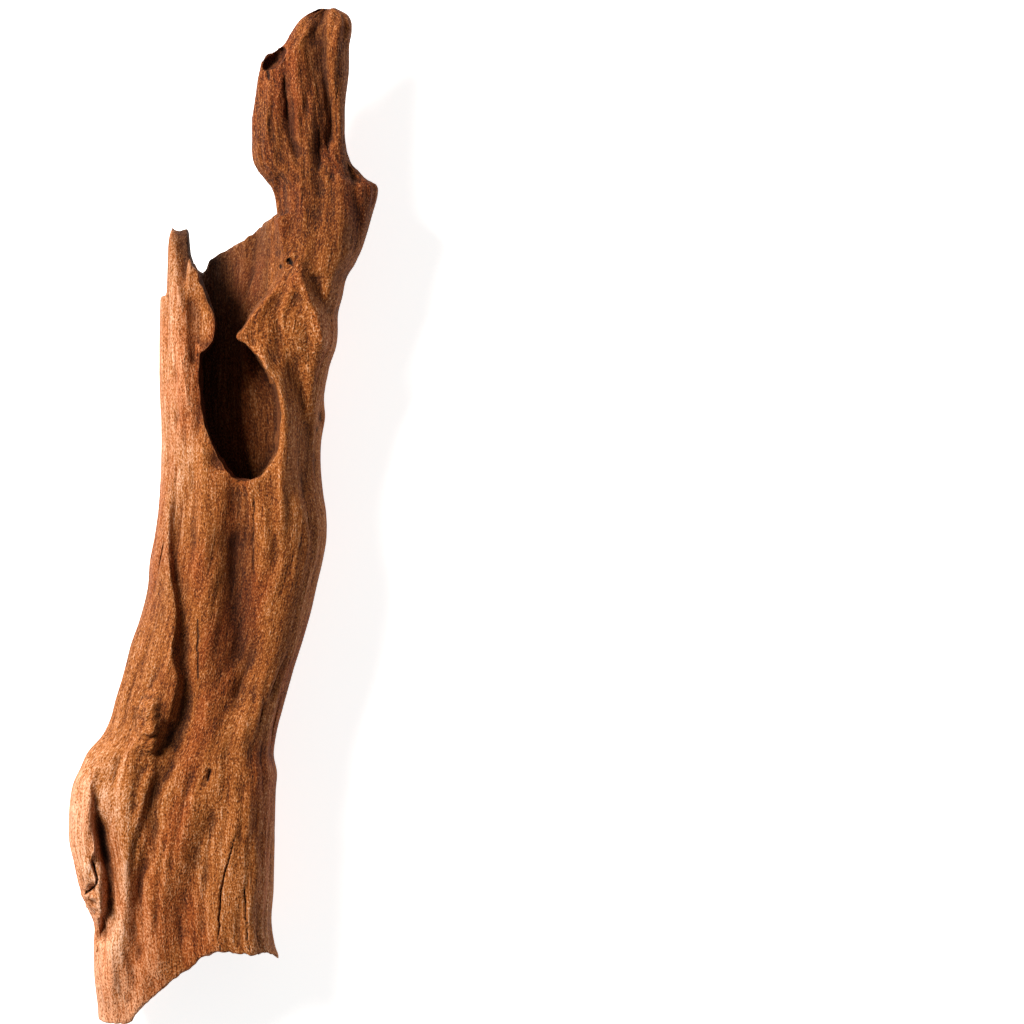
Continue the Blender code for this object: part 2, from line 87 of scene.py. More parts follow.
# %% Lights
def add_area_light(name, power, size, place, target, colour):
    """A square area light of that size in metres, at place, that faces target."""
    data = bpy.data.lights.new(name, "AREA")
    data.energy, data.size, data.color = power, size, colour
    light = bpy.data.objects.new(name, data)
    light.location = place
    x, y, z = np.array(place) - np.array(target)
    light.rotation_euler = (math.atan2(math.hypot(x, y), z), 0, math.atan2(x, -y))
    bpy.context.collection.objects.link(light)


WARM_WHITE = (1.0, 0.97, 0.94)
add_area_light("window_light", 48, 0.55, (-0.92, 0.62, 1.06), (0, 0, 0.03), WARM_WHITE)

world = bpy.data.worlds.new("studio_fill")
world.use_nodes = True
fill = world.node_tree.nodes["Background"].inputs
fill["Color"].default_value = (1.0, 0.99, 0.97, 1)
fill["Strength"].default_value = 0.16
bpy.context.scene.world = world
bpy.context.scene.view_settings.view_transform = "Standard"

# %% [markdown]
# ## Curves and noise
# Every edge was read as a few points. A cubic curve through them gives the edge anywhere.
# Weathering needs noise that is the same on each run: a value at each corner of a lattice, made
# from the corner's own numbers.

# %% Curves
def curve_through(points, at):
    """A smooth curve through (position, value) points: between two of them a cubic whose slopes are
    those of the points on either side."""
    points = np.array(points, float)
    x, v = points[points[:, 0].argsort()].T
    slope = np.gradient(v, x)
    i = np.clip(np.searchsorted(x, at) - 1, 0, len(x) - 2)
    run = x[i + 1] - x[i]
    t = np.clip((at - x[i]) / run, 0, 1)
    return (
        (2 * t**3 - 3 * t**2 + 1) * v[i]
        + (t**3 - 2 * t**2 + t) * run * slope[i]
        + (3 * t**2 - 2 * t**3) * v[i + 1]
        + (t**3 - t**2) * run * slope[i + 1]
    )


def smooth_step(low, high, value):
    """0 below low, 1 above high, and an S between them."""
    t = np.clip((value - low) / (high - low), 0, 1)
    return t * t * (3 - 2 * t)


def corner_value(i, j, k, seed):
    """A number from 0 to 1 for each lattice corner: its three indices are multiplied by large
    primes and stirred."""
    h = (i * 374761393 + j * 668265263 + k * 2147483629 + seed * 1274126177) & 0xFFFFFFFF
    h = ((h ^ (h >> 13)) * 1103515245) & 0xFFFFFFFF
    h = ((h ^ (h >> 16)) * 668265261) & 0xFFFFFFFF
    return (h ^ (h >> 15)).astype(float) / 0xFFFFFFFF


def noise(points, cell, seed):
    """Smooth noise from -1 to 1 at points (n, 3): the eight corner values round each point, blended
    by an S curve. cell is the lattice's spacing along each axis."""
    p = points / np.array(cell, float)
    base = np.floor(p).astype(np.int64)
    t = p - base
    t = t * t * (3 - 2 * t)
    total = np.zeros(len(points))
    for dx in (0, 1):
        for dy in (0, 1):
            for dz in (0, 1):
                share = np.abs(1 - dx - t[:, 0]) * np.abs(1 - dy - t[:, 1]) * np.abs(1 - dz - t[:, 2])
                total += share * corner_value(base[:, 0] + dx, base[:, 1] + dy, base[:, 2] + dz, seed)
    return 2 * total - 1


# %% [markdown]
# ## Two lengths of wood
# The trunk is a loft of rounded, slightly square sections between four edge curves, and the limb is
# another, which grows out of the trunk's right wall and ends in the paddle. All of these points are
# in millimetres.

# %% The trunk's edges: (along Y, edge)
TRUNK_LEFT = (
    (-235, -57), (-222, -57), (-208, -58.5), (-192, -58.7), (-183, -58.6), (-178, -60.5), (-173, -63),
    (-164, -65.8), (-155, -67.6), (-147, -69.4), (-138, -69.8), (-128, -69.2), (-120, -67.6),
    (-113, -64.3), (-106, -61), (-99, -54.8), (-93, -51.6), (-82, -48.5), (-68, -44.5), (-58, -42),
    (-47, -38), (-34, -34.5), (-19, -33), (-9, -31), (2, -29.5), (17, -28.5), (37, -28), (55, -29),
    (98, -29), (120, -28), (145, -26),
)  # fmt: skip
TRUNK_RIGHT = (
    (-235, 33), (-212, 27.5), (-198, 24), (-193, 22), (-184, 20.5), (-168, 21.5), (-150, 22),
    (-122, 23), (-116, 23.5), (-108, 22), (-98, 23), (-86, 26), (-70, 30.5), (-54, 35.5), (-41, 39),
    (-30, 41.5), (-19, 44), (-8, 45.8), (2, 45.5), (10, 44), (38, 43.8), (45, 45.3), (51, 44.8),
    (68, 46.5), (98, 47), (120, 45), (145, 42),
)  # fmt: skip
TRUNK_BOTTOM = (
    (-235, 7), (-200, 5), (-160, 2.5), (-120, 2), (-80, 3), (-40, 3.5), (0, 3), (40, 2), (80, 2.5),
    (120, 5), (145, 7),
)  # fmt: skip
TRUNK_TOP = (
    (-235, 50), (-200, 54), (-160, 57), (-120, 59), (-80, 58), (-40, 60), (0, 62), (40, 63), (80, 62),
    (120, 59), (145, 57),
)  # fmt: skip
TRUNK_SQUARENESS = ((-235, 3.3), (-120, 3.2), (-60, 2.7), (0, 2.35), (145, 2.35))

# %% The limb's edges: (along Y, edge)
LIMB_LEFT = (
    (22, 31), (40, 29), (62, 27), (76, 22), (88, 18), (99, 21), (109, 23.5), (117, 24.7), (127, 24.7),
    (137, 24.2), (145, 23), (149, 21.4), (152, 18.9), (155.5, 16), (159.5, 13.2), (163, 12.4),
    (168, 12.3), (177, 12.6), (186, 14), (195, 15), (201, 16.2), (206.5, 18.3), (211, 25), (216.5, 29.8),
    (222, 34.2), (226.5, 39.8), (228.3, 44),
)  # fmt: skip
LIMB_RIGHT = (
    (22, 41), (40, 43), (62, 46), (71, 48), (76, 50), (84, 51), (92, 51), (99, 53), (109, 55.3),
    (113, 58), (117, 60), (127, 63.8), (137, 66.2), (145, 68.4), (148.5, 68.4), (152, 63.5),
    (155.5, 60), (159.5, 56.8), (163, 55), (168, 54), (178, 53.6), (186, 53.8), (198, 55.2),
    (213, 56), (219, 57), (223.4, 56.5), (226.5, 54), (228.3, 50),
)  # fmt: skip
LIMB_BOTTOM = (
    (22, 18), (40, 15), (68, 11), (83, 10), (100, 11), (117, 14), (136, 18), (150, 21), (170, 23),
    (186, 25), (200, 27), (213, 30), (222, 33), (228.3, 38),
)  # fmt: skip
LIMB_TOP = (
    (22, 46), (40, 51), (68, 59), (83, 62), (100, 62), (117, 60.5), (136, 58), (150, 56), (170, 54.5),
    (186, 54), (200, 53), (213, 52), (222, 49.5), (228.3, 44),
)  # fmt: skip
LIMB_SQUARENESS = ((22, 2.5), (230, 2.5))

# %% Sections and flutes
# How many flutes go round a section, their height, how far they wander and over what length
FLUTES = ((7, 0.55, 0.9, 95), (13, 0.50, 1.1, 62), (21, 0.42, 1.3, 48), (30, 0.30, 1.5, 37))


def flutes(angle, y):
    """Low ridges along the grain: a sine of a whole number of waves round the section, whose phase
    wanders as y grows and whose height comes and goes."""
    total = np.zeros(np.broadcast(angle, y).shape)
    for n, (count, height, wander, run) in enumerate(FLUTES):
        phase = count * angle + 2.1 * n + wander * np.sin(2 * np.pi * y / run + 1.7 * n)
        total += height * (0.65 + 0.35 * np.sin(2 * np.pi * y / (1.7 * run) + n)) * np.sin(phase)
    return total


def section(angle, centre, half, squareness):
    """A superellipse: the cosine and the sine of the angle, each raised to 2 / squareness with its
    sign kept."""
    c, s = np.cos(angle), np.sin(angle)
    power = 2 / squareness
    across = centre[0] + half[0] * np.sign(c) * np.abs(c) ** power
    up = centre[1] + half[1] * np.sign(s) * np.abs(s) ** power
    return across, up


def wood_skin(edges, squareness, ring_count, sides):
    """The rings of a length of wood: at each y, a section that fills the space between its left,
    right, lower and upper edge curves, pushed out or in along its own normal by the flutes. These
    are low at the two sides, so that the edges stay where they were read."""
    left, right, bottom, top = edges
    y = np.linspace(left[0][0], left[-1][0], ring_count)[:, None]
    angle = np.linspace(0, 2 * np.pi, sides, endpoint=False)[None, :]
    left, right, bottom, top = (curve_through(edge, y) for edge in edges)
    half = ((right - left) / 2, (top - bottom) / 2)
    x, z = section(angle, ((left + right) / 2, (bottom + top) / 2), half, curve_through(squareness, y))
    out = np.stack([np.cos(angle) / half[0], np.sin(angle) / half[1]])
    out /= np.hypot(*out)
    height = (1 - 0.75 * smooth_step(0.8, 1.0, np.abs(np.cos(angle)))) * flutes(angle, y)
    return np.stack([x + height * out[0], np.broadcast_to(y, x.shape), z + height * out[1]], -1)


TRUNK_EDGES = (TRUNK_LEFT, TRUNK_RIGHT, TRUNK_BOTTOM, TRUNK_TOP)
LIMB_EDGES = (LIMB_LEFT, LIMB_RIGHT, LIMB_BOTTOM, LIMB_TOP)

# %% Rings into a closed mesh
workshop = bpy.data.collections.new("workshop")
bpy.context.scene.collection.children.link(workshop)


def loft(name, rings):
    """A closed mesh through rings (ring, point, xyz) in millimetres: quads between neighbouring
    rings, and one flat face over each end. Its volume is measured, and its faces are turned if that
    is negative."""
    count, sides = rings.shape[:2]
    ring, side = np.meshgrid(np.arange(count - 1), np.arange(sides), indexing="ij")
    after = (side + 1) % sides
    here, ahead = ring * sides, (ring + 1) * sides
    quads = np.stack([here + side, here + after, ahead + after, ahead + side], -1).reshape(-1, 4)
    first, last = np.arange(sides)[::-1], np.arange((count - 1) * sides, count * sides)
    points = rings.reshape(-1, 3)
    a, b, c, d = (points[quads[:, k]] for k in range(4))
    volume = (np.cross(a, b) * c).sum() + (np.cross(a, c) * d).sum()
    for cap in (first, last):
        fan = points[cap]
        volume += (np.cross(fan[0], fan[1:-1]) * fan[2:]).sum()
    faces = [*quads.tolist(), first.tolist(), last.tolist()]
    if volume < 0:
        faces = [face[::-1] for face in faces]
    mesh = bpy.data.meshes.new(name)
    mesh.from_pydata((points * MM).tolist(), [], faces)
    piece = bpy.data.objects.new(name, mesh)
    workshop.objects.link(piece)
    print(f"{name}: {len(points)} points")
    return piece


trunk = loft("trunk", wood_skin(TRUNK_EDGES, TRUNK_SQUARENESS, 260, 200))
limb = loft("limb", wood_skin(LIMB_EDGES, LIMB_SQUARENESS, 190, 140))

# %% [markdown]
# ## What rot and breakage took
# The hollow, the rotted pocket in the lower end, the opening in the upper face and the two broken
# ends are solids of their own, which are cut from the wood. Water rounds the edges afterwards.

# %% Hollow and pocket
PASSAGE_SQUARENESS = 2.2
# Along Y, centre in X and Z, half size in X and Z, and how far it leans to the right as it rises
HOLLOW = (
    (-62, 6, 27, 2.5, 3, 0.1), (-54, 6.5, 27.5, 8, 8, 0.15), (-38, 7.5, 28.5, 13, 12, 0.25),
    (-16, 6.5, 30, 16, 14, 0.4), (10, 3.5, 31.5, 16, 15.5, 0.7), (40, 0.8, 33, 14, 17, 1.0),
    (80, 0.5, 33, 13.5, 17, 1.0), (112, 0.8, 33, 13.5, 17.5, 0.95), (134, 1.5, 33.5, 13.5, 18, 0.9),
    (146, 2, 34, 13.5, 18, 0.85),
)  # fmt: skip
END_POCKET = (
    (-240, -18, 28, 30, 17.5, 0), (-200, -19, 27.5, 26, 15.5, 0), (-176, -20, 27, 22, 13.5, 0),
    (-152, -20.5, 26.5, 16, 10.5, 0), (-136, -20, 26, 9.5, 7, 0), (-128, -20, 26, 3, 3, 0),
)  # fmt: skip


def round_passage(stations, ring_count, sides, rib):
    """The rings of a passage: sections between smooth curves of centre and size, swollen by the
    flutes times rib."""
    stations = np.array(stations, float)
    y = np.linspace(stations[0, 0], stations[-1, 0], ring_count)[:, None]
    cx, cz, hx, hz, lean = (curve_through(stations[:, (0, k)], y) for k in (1, 2, 3, 4, 5))
    angle = np.linspace(0, 2 * np.pi, sides, endpoint=False)[None, :]
    swell = 1 + rib * flutes(angle, y)
    x, z = section(angle, (cx, cz), (hx * swell, hz * swell), PASSAGE_SQUARENESS)
    return np.stack([x + lean * (z - cz), np.broadcast_to(y, x.shape), z], -1)


hollow = loft("hollow", round_passage(HOLLOW, 140, 110, 0.045))
pocket = loft("end_pocket", round_passage(END_POCKET, 80, 110, 0.05))

# %% Opening: its edge on the outside and, point for point, deep inside
WINDOW_OUTSIDE = (
    (20, 152), (24, 150), (26, 140), (27, 132), (28.8, 125), (30.4, 115.5), (28.8, 107.5), (23.5, 101),
    (16.5, 93.5), (11, 85.5), (7, 80.3), (11.5, 76.8), (17, 71), (22, 62.8), (25.4, 56), (26.8, 47.5),
    (26.4, 37.5), (25.2, 29.2), (22, 22.8), (17, 17.6), (10.5, 16.2), (4.5, 18), (-0.8, 24.3), (-4.2, 31),
    (-7.2, 37.5), (-9, 45), (-10.2, 55.5), (-11.2, 68), (-10.6, 73.5), (-8, 74.3), (-5.2, 78.5),
    (-3.6, 86), (-4.4, 92), (-7, 97.5), (-9.6, 104), (-11.6, 110), (-13.5, 114), (-15.5, 122),
    (-16, 132), (-16, 142), (-15.5, 149), (-10, 152),
)  # fmt: skip
WINDOW_INSIDE = (
    (12, 152), (15, 150), (15, 140), (14.6, 132), (14, 125), (13, 115.5), (12, 107.5), (10, 101),
    (8, 93.5), (6, 86.5), (5, 82), (10, 77.5), (15, 71.5), (19.5, 63.8), (22.5, 56), (23.5, 47.5),
    (23, 37.5), (22, 29.5), (19.5, 24), (15.5, 19.6), (10.5, 18.5), (5.5, 20), (0.8, 25.6), (-3, 31.6),
    (-6, 38), (-8, 45), (-9.4, 55.5), (-10, 68), (-9.6, 73.5), (-7.5, 75), (-5, 78.5),
    (-3.8, 86), (-4.8, 92), (-7, 97.5), (-9.6, 104), (-11.6, 110), (-13, 114), (-14.5, 122),
    (-15, 132), (-15, 142), (-14.5, 149), (-8, 152),
)  # fmt: skip
WINDOW_LEVELS = (28, 36, 46, 54, 62, 74)
UPPER_FACE = 60
WINDOW_STEPS = 8
WINDOW_ROUGHNESS = 0.7


def window_rings():
    """The rings of the opening, stacked upwards: each is a smooth closed curve through points that
    lie between the inside edge and the outside edge, by the share of the wall that lies below its
    level."""
    outside, inside = (np.array(edge, float) for edge in (WINDOW_OUTSIDE, WINDOW_INSIDE))
    count = len(outside) * WINDOW_STEPS
    at = np.arange(count) / WINDOW_STEPS
    around = np.arange(-2, len(outside) + 3)
    rings = []
    for level in WINDOW_LEVELS:
        share = np.clip((level - WINDOW_LEVELS[0]) / (UPPER_FACE - WINDOW_LEVELS[0]), 0, 1)
        edge = (inside + share * (outside - inside))[around % len(outside)]
        xy = [curve_through(np.stack([around, edge[:, k]], 1), at) for k in (0, 1)]
        rings.append(np.stack([*xy, np.full(count, level)], -1))
    rings = np.array(rings)
    for axis in (0, 1):
        torn = noise(rings.reshape(-1, 3), (2.6, 5, 14), 60 + axis).reshape(rings.shape[:2])
        rings[..., axis] += WINDOW_ROUGHNESS * torn
    return rings


window = loft("window", window_rings())

# %% Broken ends: across X, how far along Y the wood still reaches
RIM = (
    (-34, 92), (-29.5, 97.5), (-28, 99.8), (-25.6, 100), (-25, 104), (-24.8, 126), (-24, 130.4),
    (-20.5, 128.6), (-16.2, 129.4), (-15.8, 119), (-13.8, 113), (-11, 110.6), (-8.4, 113.4),
    (-7.4, 116.6), (0, 121), (8, 125.4), (15.5, 130.8), (22.8, 135), (30, 137), (50, 138),
)  # fmt: skip
SPIKE_LEFT, SPIKE_RIGHT = -25.5, -15.8
SPIKE_LEVEL, SPIKE_REACH = 34, 13
SPIKE_SHOULDER = 104
LOWER_BREAK = (
    (-70, -226), (-56, -226.5), (-51, -227.4), (-41.5, -227), (-40, -223.6), (-34.5, -218),
    (-29, -213), (-22, -207), (-15, -202), (-9.5, -197.3), (-2, -194.5), (11, -195.2), (16, -196.2),
    (19.8, -195.6), (24, -198.6), (34, -203),
)  # fmt: skip
LOWER_BREAK_SLANT = 11
TORN_RIM, TORN_LOWER_END = 1.3, 0.8


def splinters(x, z, size, seed):
    """The small steps of a torn edge: noise in cells a few fibres wide."""
    points = np.stack([x.ravel(), np.zeros(x.size), z.ravel()], 1)
    coarse, fine = noise(points, (2.6, 1, 3.4), seed), noise(points, (1.1, 1, 1.5), seed + 1)
    return size * (0.65 * coarse + 0.35 * fine).reshape(x.shape)


def rim_surface(x, z):
    """How far up the trunk's wall reaches: the rim's curve, where the spike keeps its height only
    near its own level."""
    height = np.interp(x, *np.array(RIM).T)
    in_spike = smooth_step(SPIKE_LEFT - 1, SPIKE_LEFT + 1, x)
    in_spike = in_spike * smooth_step(-SPIKE_RIGHT - 1, -SPIKE_RIGHT + 1, -x)
    off_level = 1 - np.exp(-(((z - SPIKE_LEVEL) / SPIKE_REACH) ** 4))
    height = height - in_spike * off_level * (height - SPIKE_SHOULDER) - 0.05 * np.abs(z - SPIKE_LEVEL)
    return height + splinters(x, z, TORN_RIM, 3)


def lower_surface(x, z):
    """How far down the trunk's wall reaches: furthest on the upper face, whose level falls away to
    both sides, and less beneath it, where a low wave runs across the edge."""
    face_level = 49 - 20 * np.abs((x + 16) / 42) ** 3
    underneath = smooth_step(0, 28, face_level - z)
    edge = np.interp(x, *np.array(LOWER_BREAK).T) + LOWER_BREAK_SLANT * underneath
    return edge + 0.9 * underneath * np.sin(0.55 * x + 0.2 * z) + splinters(x, z, TORN_LOWER_END, 9)


def block_beyond(edge, far, across, up):
    """The rings of a block that reaches from the surface y = edge(x, z) to y = far."""
    x, z = np.meshgrid(across, up, indexing="ij")
    near_side = np.stack([x, edge(x, z), z], -1)
    far_side = np.stack([x, np.full(x.shape, far), z], -1)[:, ::-1]
    return np.concatenate([near_side, far_side], 1)


rim_rings = block_beyond(rim_surface, 170, np.linspace(-45, 60, 240), np.linspace(-12, 76, 110))
rim_break = loft("rim_break", rim_rings)
lower_rings = block_beyond(lower_surface, -260, np.linspace(-75, 45, 240), np.linspace(-12, 72, 100))
lower_break = loft("lower_break", lower_rings)

# %% Small holes: centre, size and turn about Z
SMALL_HOLES = {
    "tip_hole": ((22.9, 206.0, 48.5), (6.9, 3.1, 9.0), 43),
    "tip_pit": ((19.6, 200.2, 52.5), (1.9, 3.8, 4.0), -8),
    "side_pit": ((46.3, 44.2, 42), (4.0, 6.2, 8.5), 0),
}


def ellipsoid(centre, size, turn, ring_count=40, sides=48):
    """The rings of an ellipsoid, from pole to pole, turned about Z. The poles are rings too small
    to see."""
    polar = np.linspace(0.01, np.pi - 0.01, ring_count)[:, None]
    angle = np.linspace(0, 2 * np.pi, sides, endpoint=False)[None, :]
    x, y = size[0] * np.sin(polar) * np.cos(angle), size[1] * np.sin(polar) * np.sin(angle)
    z = np.broadcast_to(size[2] * np.cos(polar), x.shape)
    c, s = math.cos(math.radians(turn)), math.sin(math.radians(turn))
    return np.stack([c * x - s * y, s * x + c * y, z], -1) + np.array(centre)


small_holes = [loft(name, ellipsoid(*shape)) for name, shape in SMALL_HOLES.items()]

# %% Joining and cutting
VOXEL = 0.62


def add_step(piece, kind, **settings):
    """One modifier on the piece, with its settings."""
    step = piece.modifiers.new(kind.lower(), kind)
    for key, value in settings.items():
        setattr(step, key, value)
    return step


for operation, others in (("DIFFERENCE", [rim_break]), ("UNION", [limb]),
                          ("DIFFERENCE", [hollow, pocket, window, lower_break, *small_holes])):
    for other in others:
        add_step(trunk, "BOOLEAN", operation=operation, solver="MANIFOLD", object=other)
add_step(trunk, "REMESH", mode="VOXEL", voxel_size=VOXEL * MM)
bpy.context.view_layer.update()
blank = bpy.data.meshes.new_from_object(trunk.evaluated_get(bpy.context.evaluated_depsgraph_get()))
print("carved blank:", len(blank.vertices), "points")

# %% [markdown]
# ## Working on the points
# From here the wood is one even mesh, and its points are moved as whole arrays.

# %% Arrays from a mesh
def read_points(mesh):
    points = np.empty(len(mesh.vertices) * 3)
    mesh.vertices.foreach_get("co", points)
    return points.reshape(-1, 3) / MM


def write_points(mesh, points):
    mesh.vertices.foreach_set("co", (points * MM).ravel())
    mesh.update()


def read_normals(mesh):
    normals = np.empty(len(mesh.vertices) * 3)
    mesh.vertices.foreach_get("normal", normals)
    return normals.reshape(-1, 3)


def read_edges(mesh):
    edges = np.empty(len(mesh.edges) * 2, np.int32)
    mesh.edges.foreach_get("vertices", edges)
    return edges.reshape(-1, 2).astype(np.int64)


def relax(points, edges, strength, passes):
    """Each point moves towards the mean of its neighbours by strength, a number or one for each
    point."""
    a, b = edges.T
    ends, others = np.concatenate([a, b]), np.concatenate([b, a])
    count = np.bincount(ends, minlength=len(points))
    strength = np.broadcast_to(strength, len(points))[:, None]
    for _ in range(passes):
        sums = np.stack([np.bincount(ends, points[others, k], len(points)) for k in range(3)], 1)
        points = points + strength * (sums / count[:, None] - points)
    return points


points = read_points(blank)
edges = read_edges(blank)

# %% Where a point is on the wood
def fill_of(points, edges_of, squareness):
    """How far out a point lies in a length of wood: 0 on its centre line, 1 on its skin."""
    x, y, z = points.T
    left, right, bottom, top = (curve_through(edge, y) for edge in edges_of)
    across = np.abs((x - (left + right) / 2) / ((right - left) / 2))
    up = np.abs((z - (bottom + top) / 2) / ((top - bottom) / 2))
    inside_run = (y > edges_of[0][0][0]) & (y < edges_of[0][-1][0])
    power = curve_through(squareness, y)
    return np.where(inside_run, (across**power + up**power) ** (1 / power), 0)


# The wood is all limb above the first number, and above the second where it lies right of the third
ALL_LIMB, LIMB_FROM, LIMB_RIGHT_OF = 138, 60, 20


def on_outside(points):
    """1 on the outer skin, 0 in the hollow."""
    in_trunk = fill_of(points, TRUNK_EDGES, TRUNK_SQUARENESS)
    in_limb = fill_of(points, LIMB_EDGES, LIMB_SQUARENESS)
    x, y, _ = points.T
    skin = np.where(y < ALL_LIMB, in_trunk, in_limb)
    skin = np.maximum(skin, np.where((y > LIMB_FROM) & (x > LIMB_RIGHT_OF), in_limb, 0))
    return smooth_step(0.80, 0.93, skin)


# the limb flows into the trunk: the crease between them is worn away
x, y, _ = points.T
junction = smooth_step(20, 45, y) * smooth_step(-150, -120, -y) * smooth_step(26, 34, x)
points = relax(points, edges, 0.5 * junction, 60)
points = relax(points, edges, 0.5, 3)
outside = on_outside(points)
print("skin share:", round(float(outside.mean()), 3))

# %% [markdown]
# ## Folds
# A fold is a bell across a crest line: a height, a reach on each side, and a few points of the
# crest, read from the photograph in millimetres. A negative height is a valley. They are the forms
# seen from a step away.

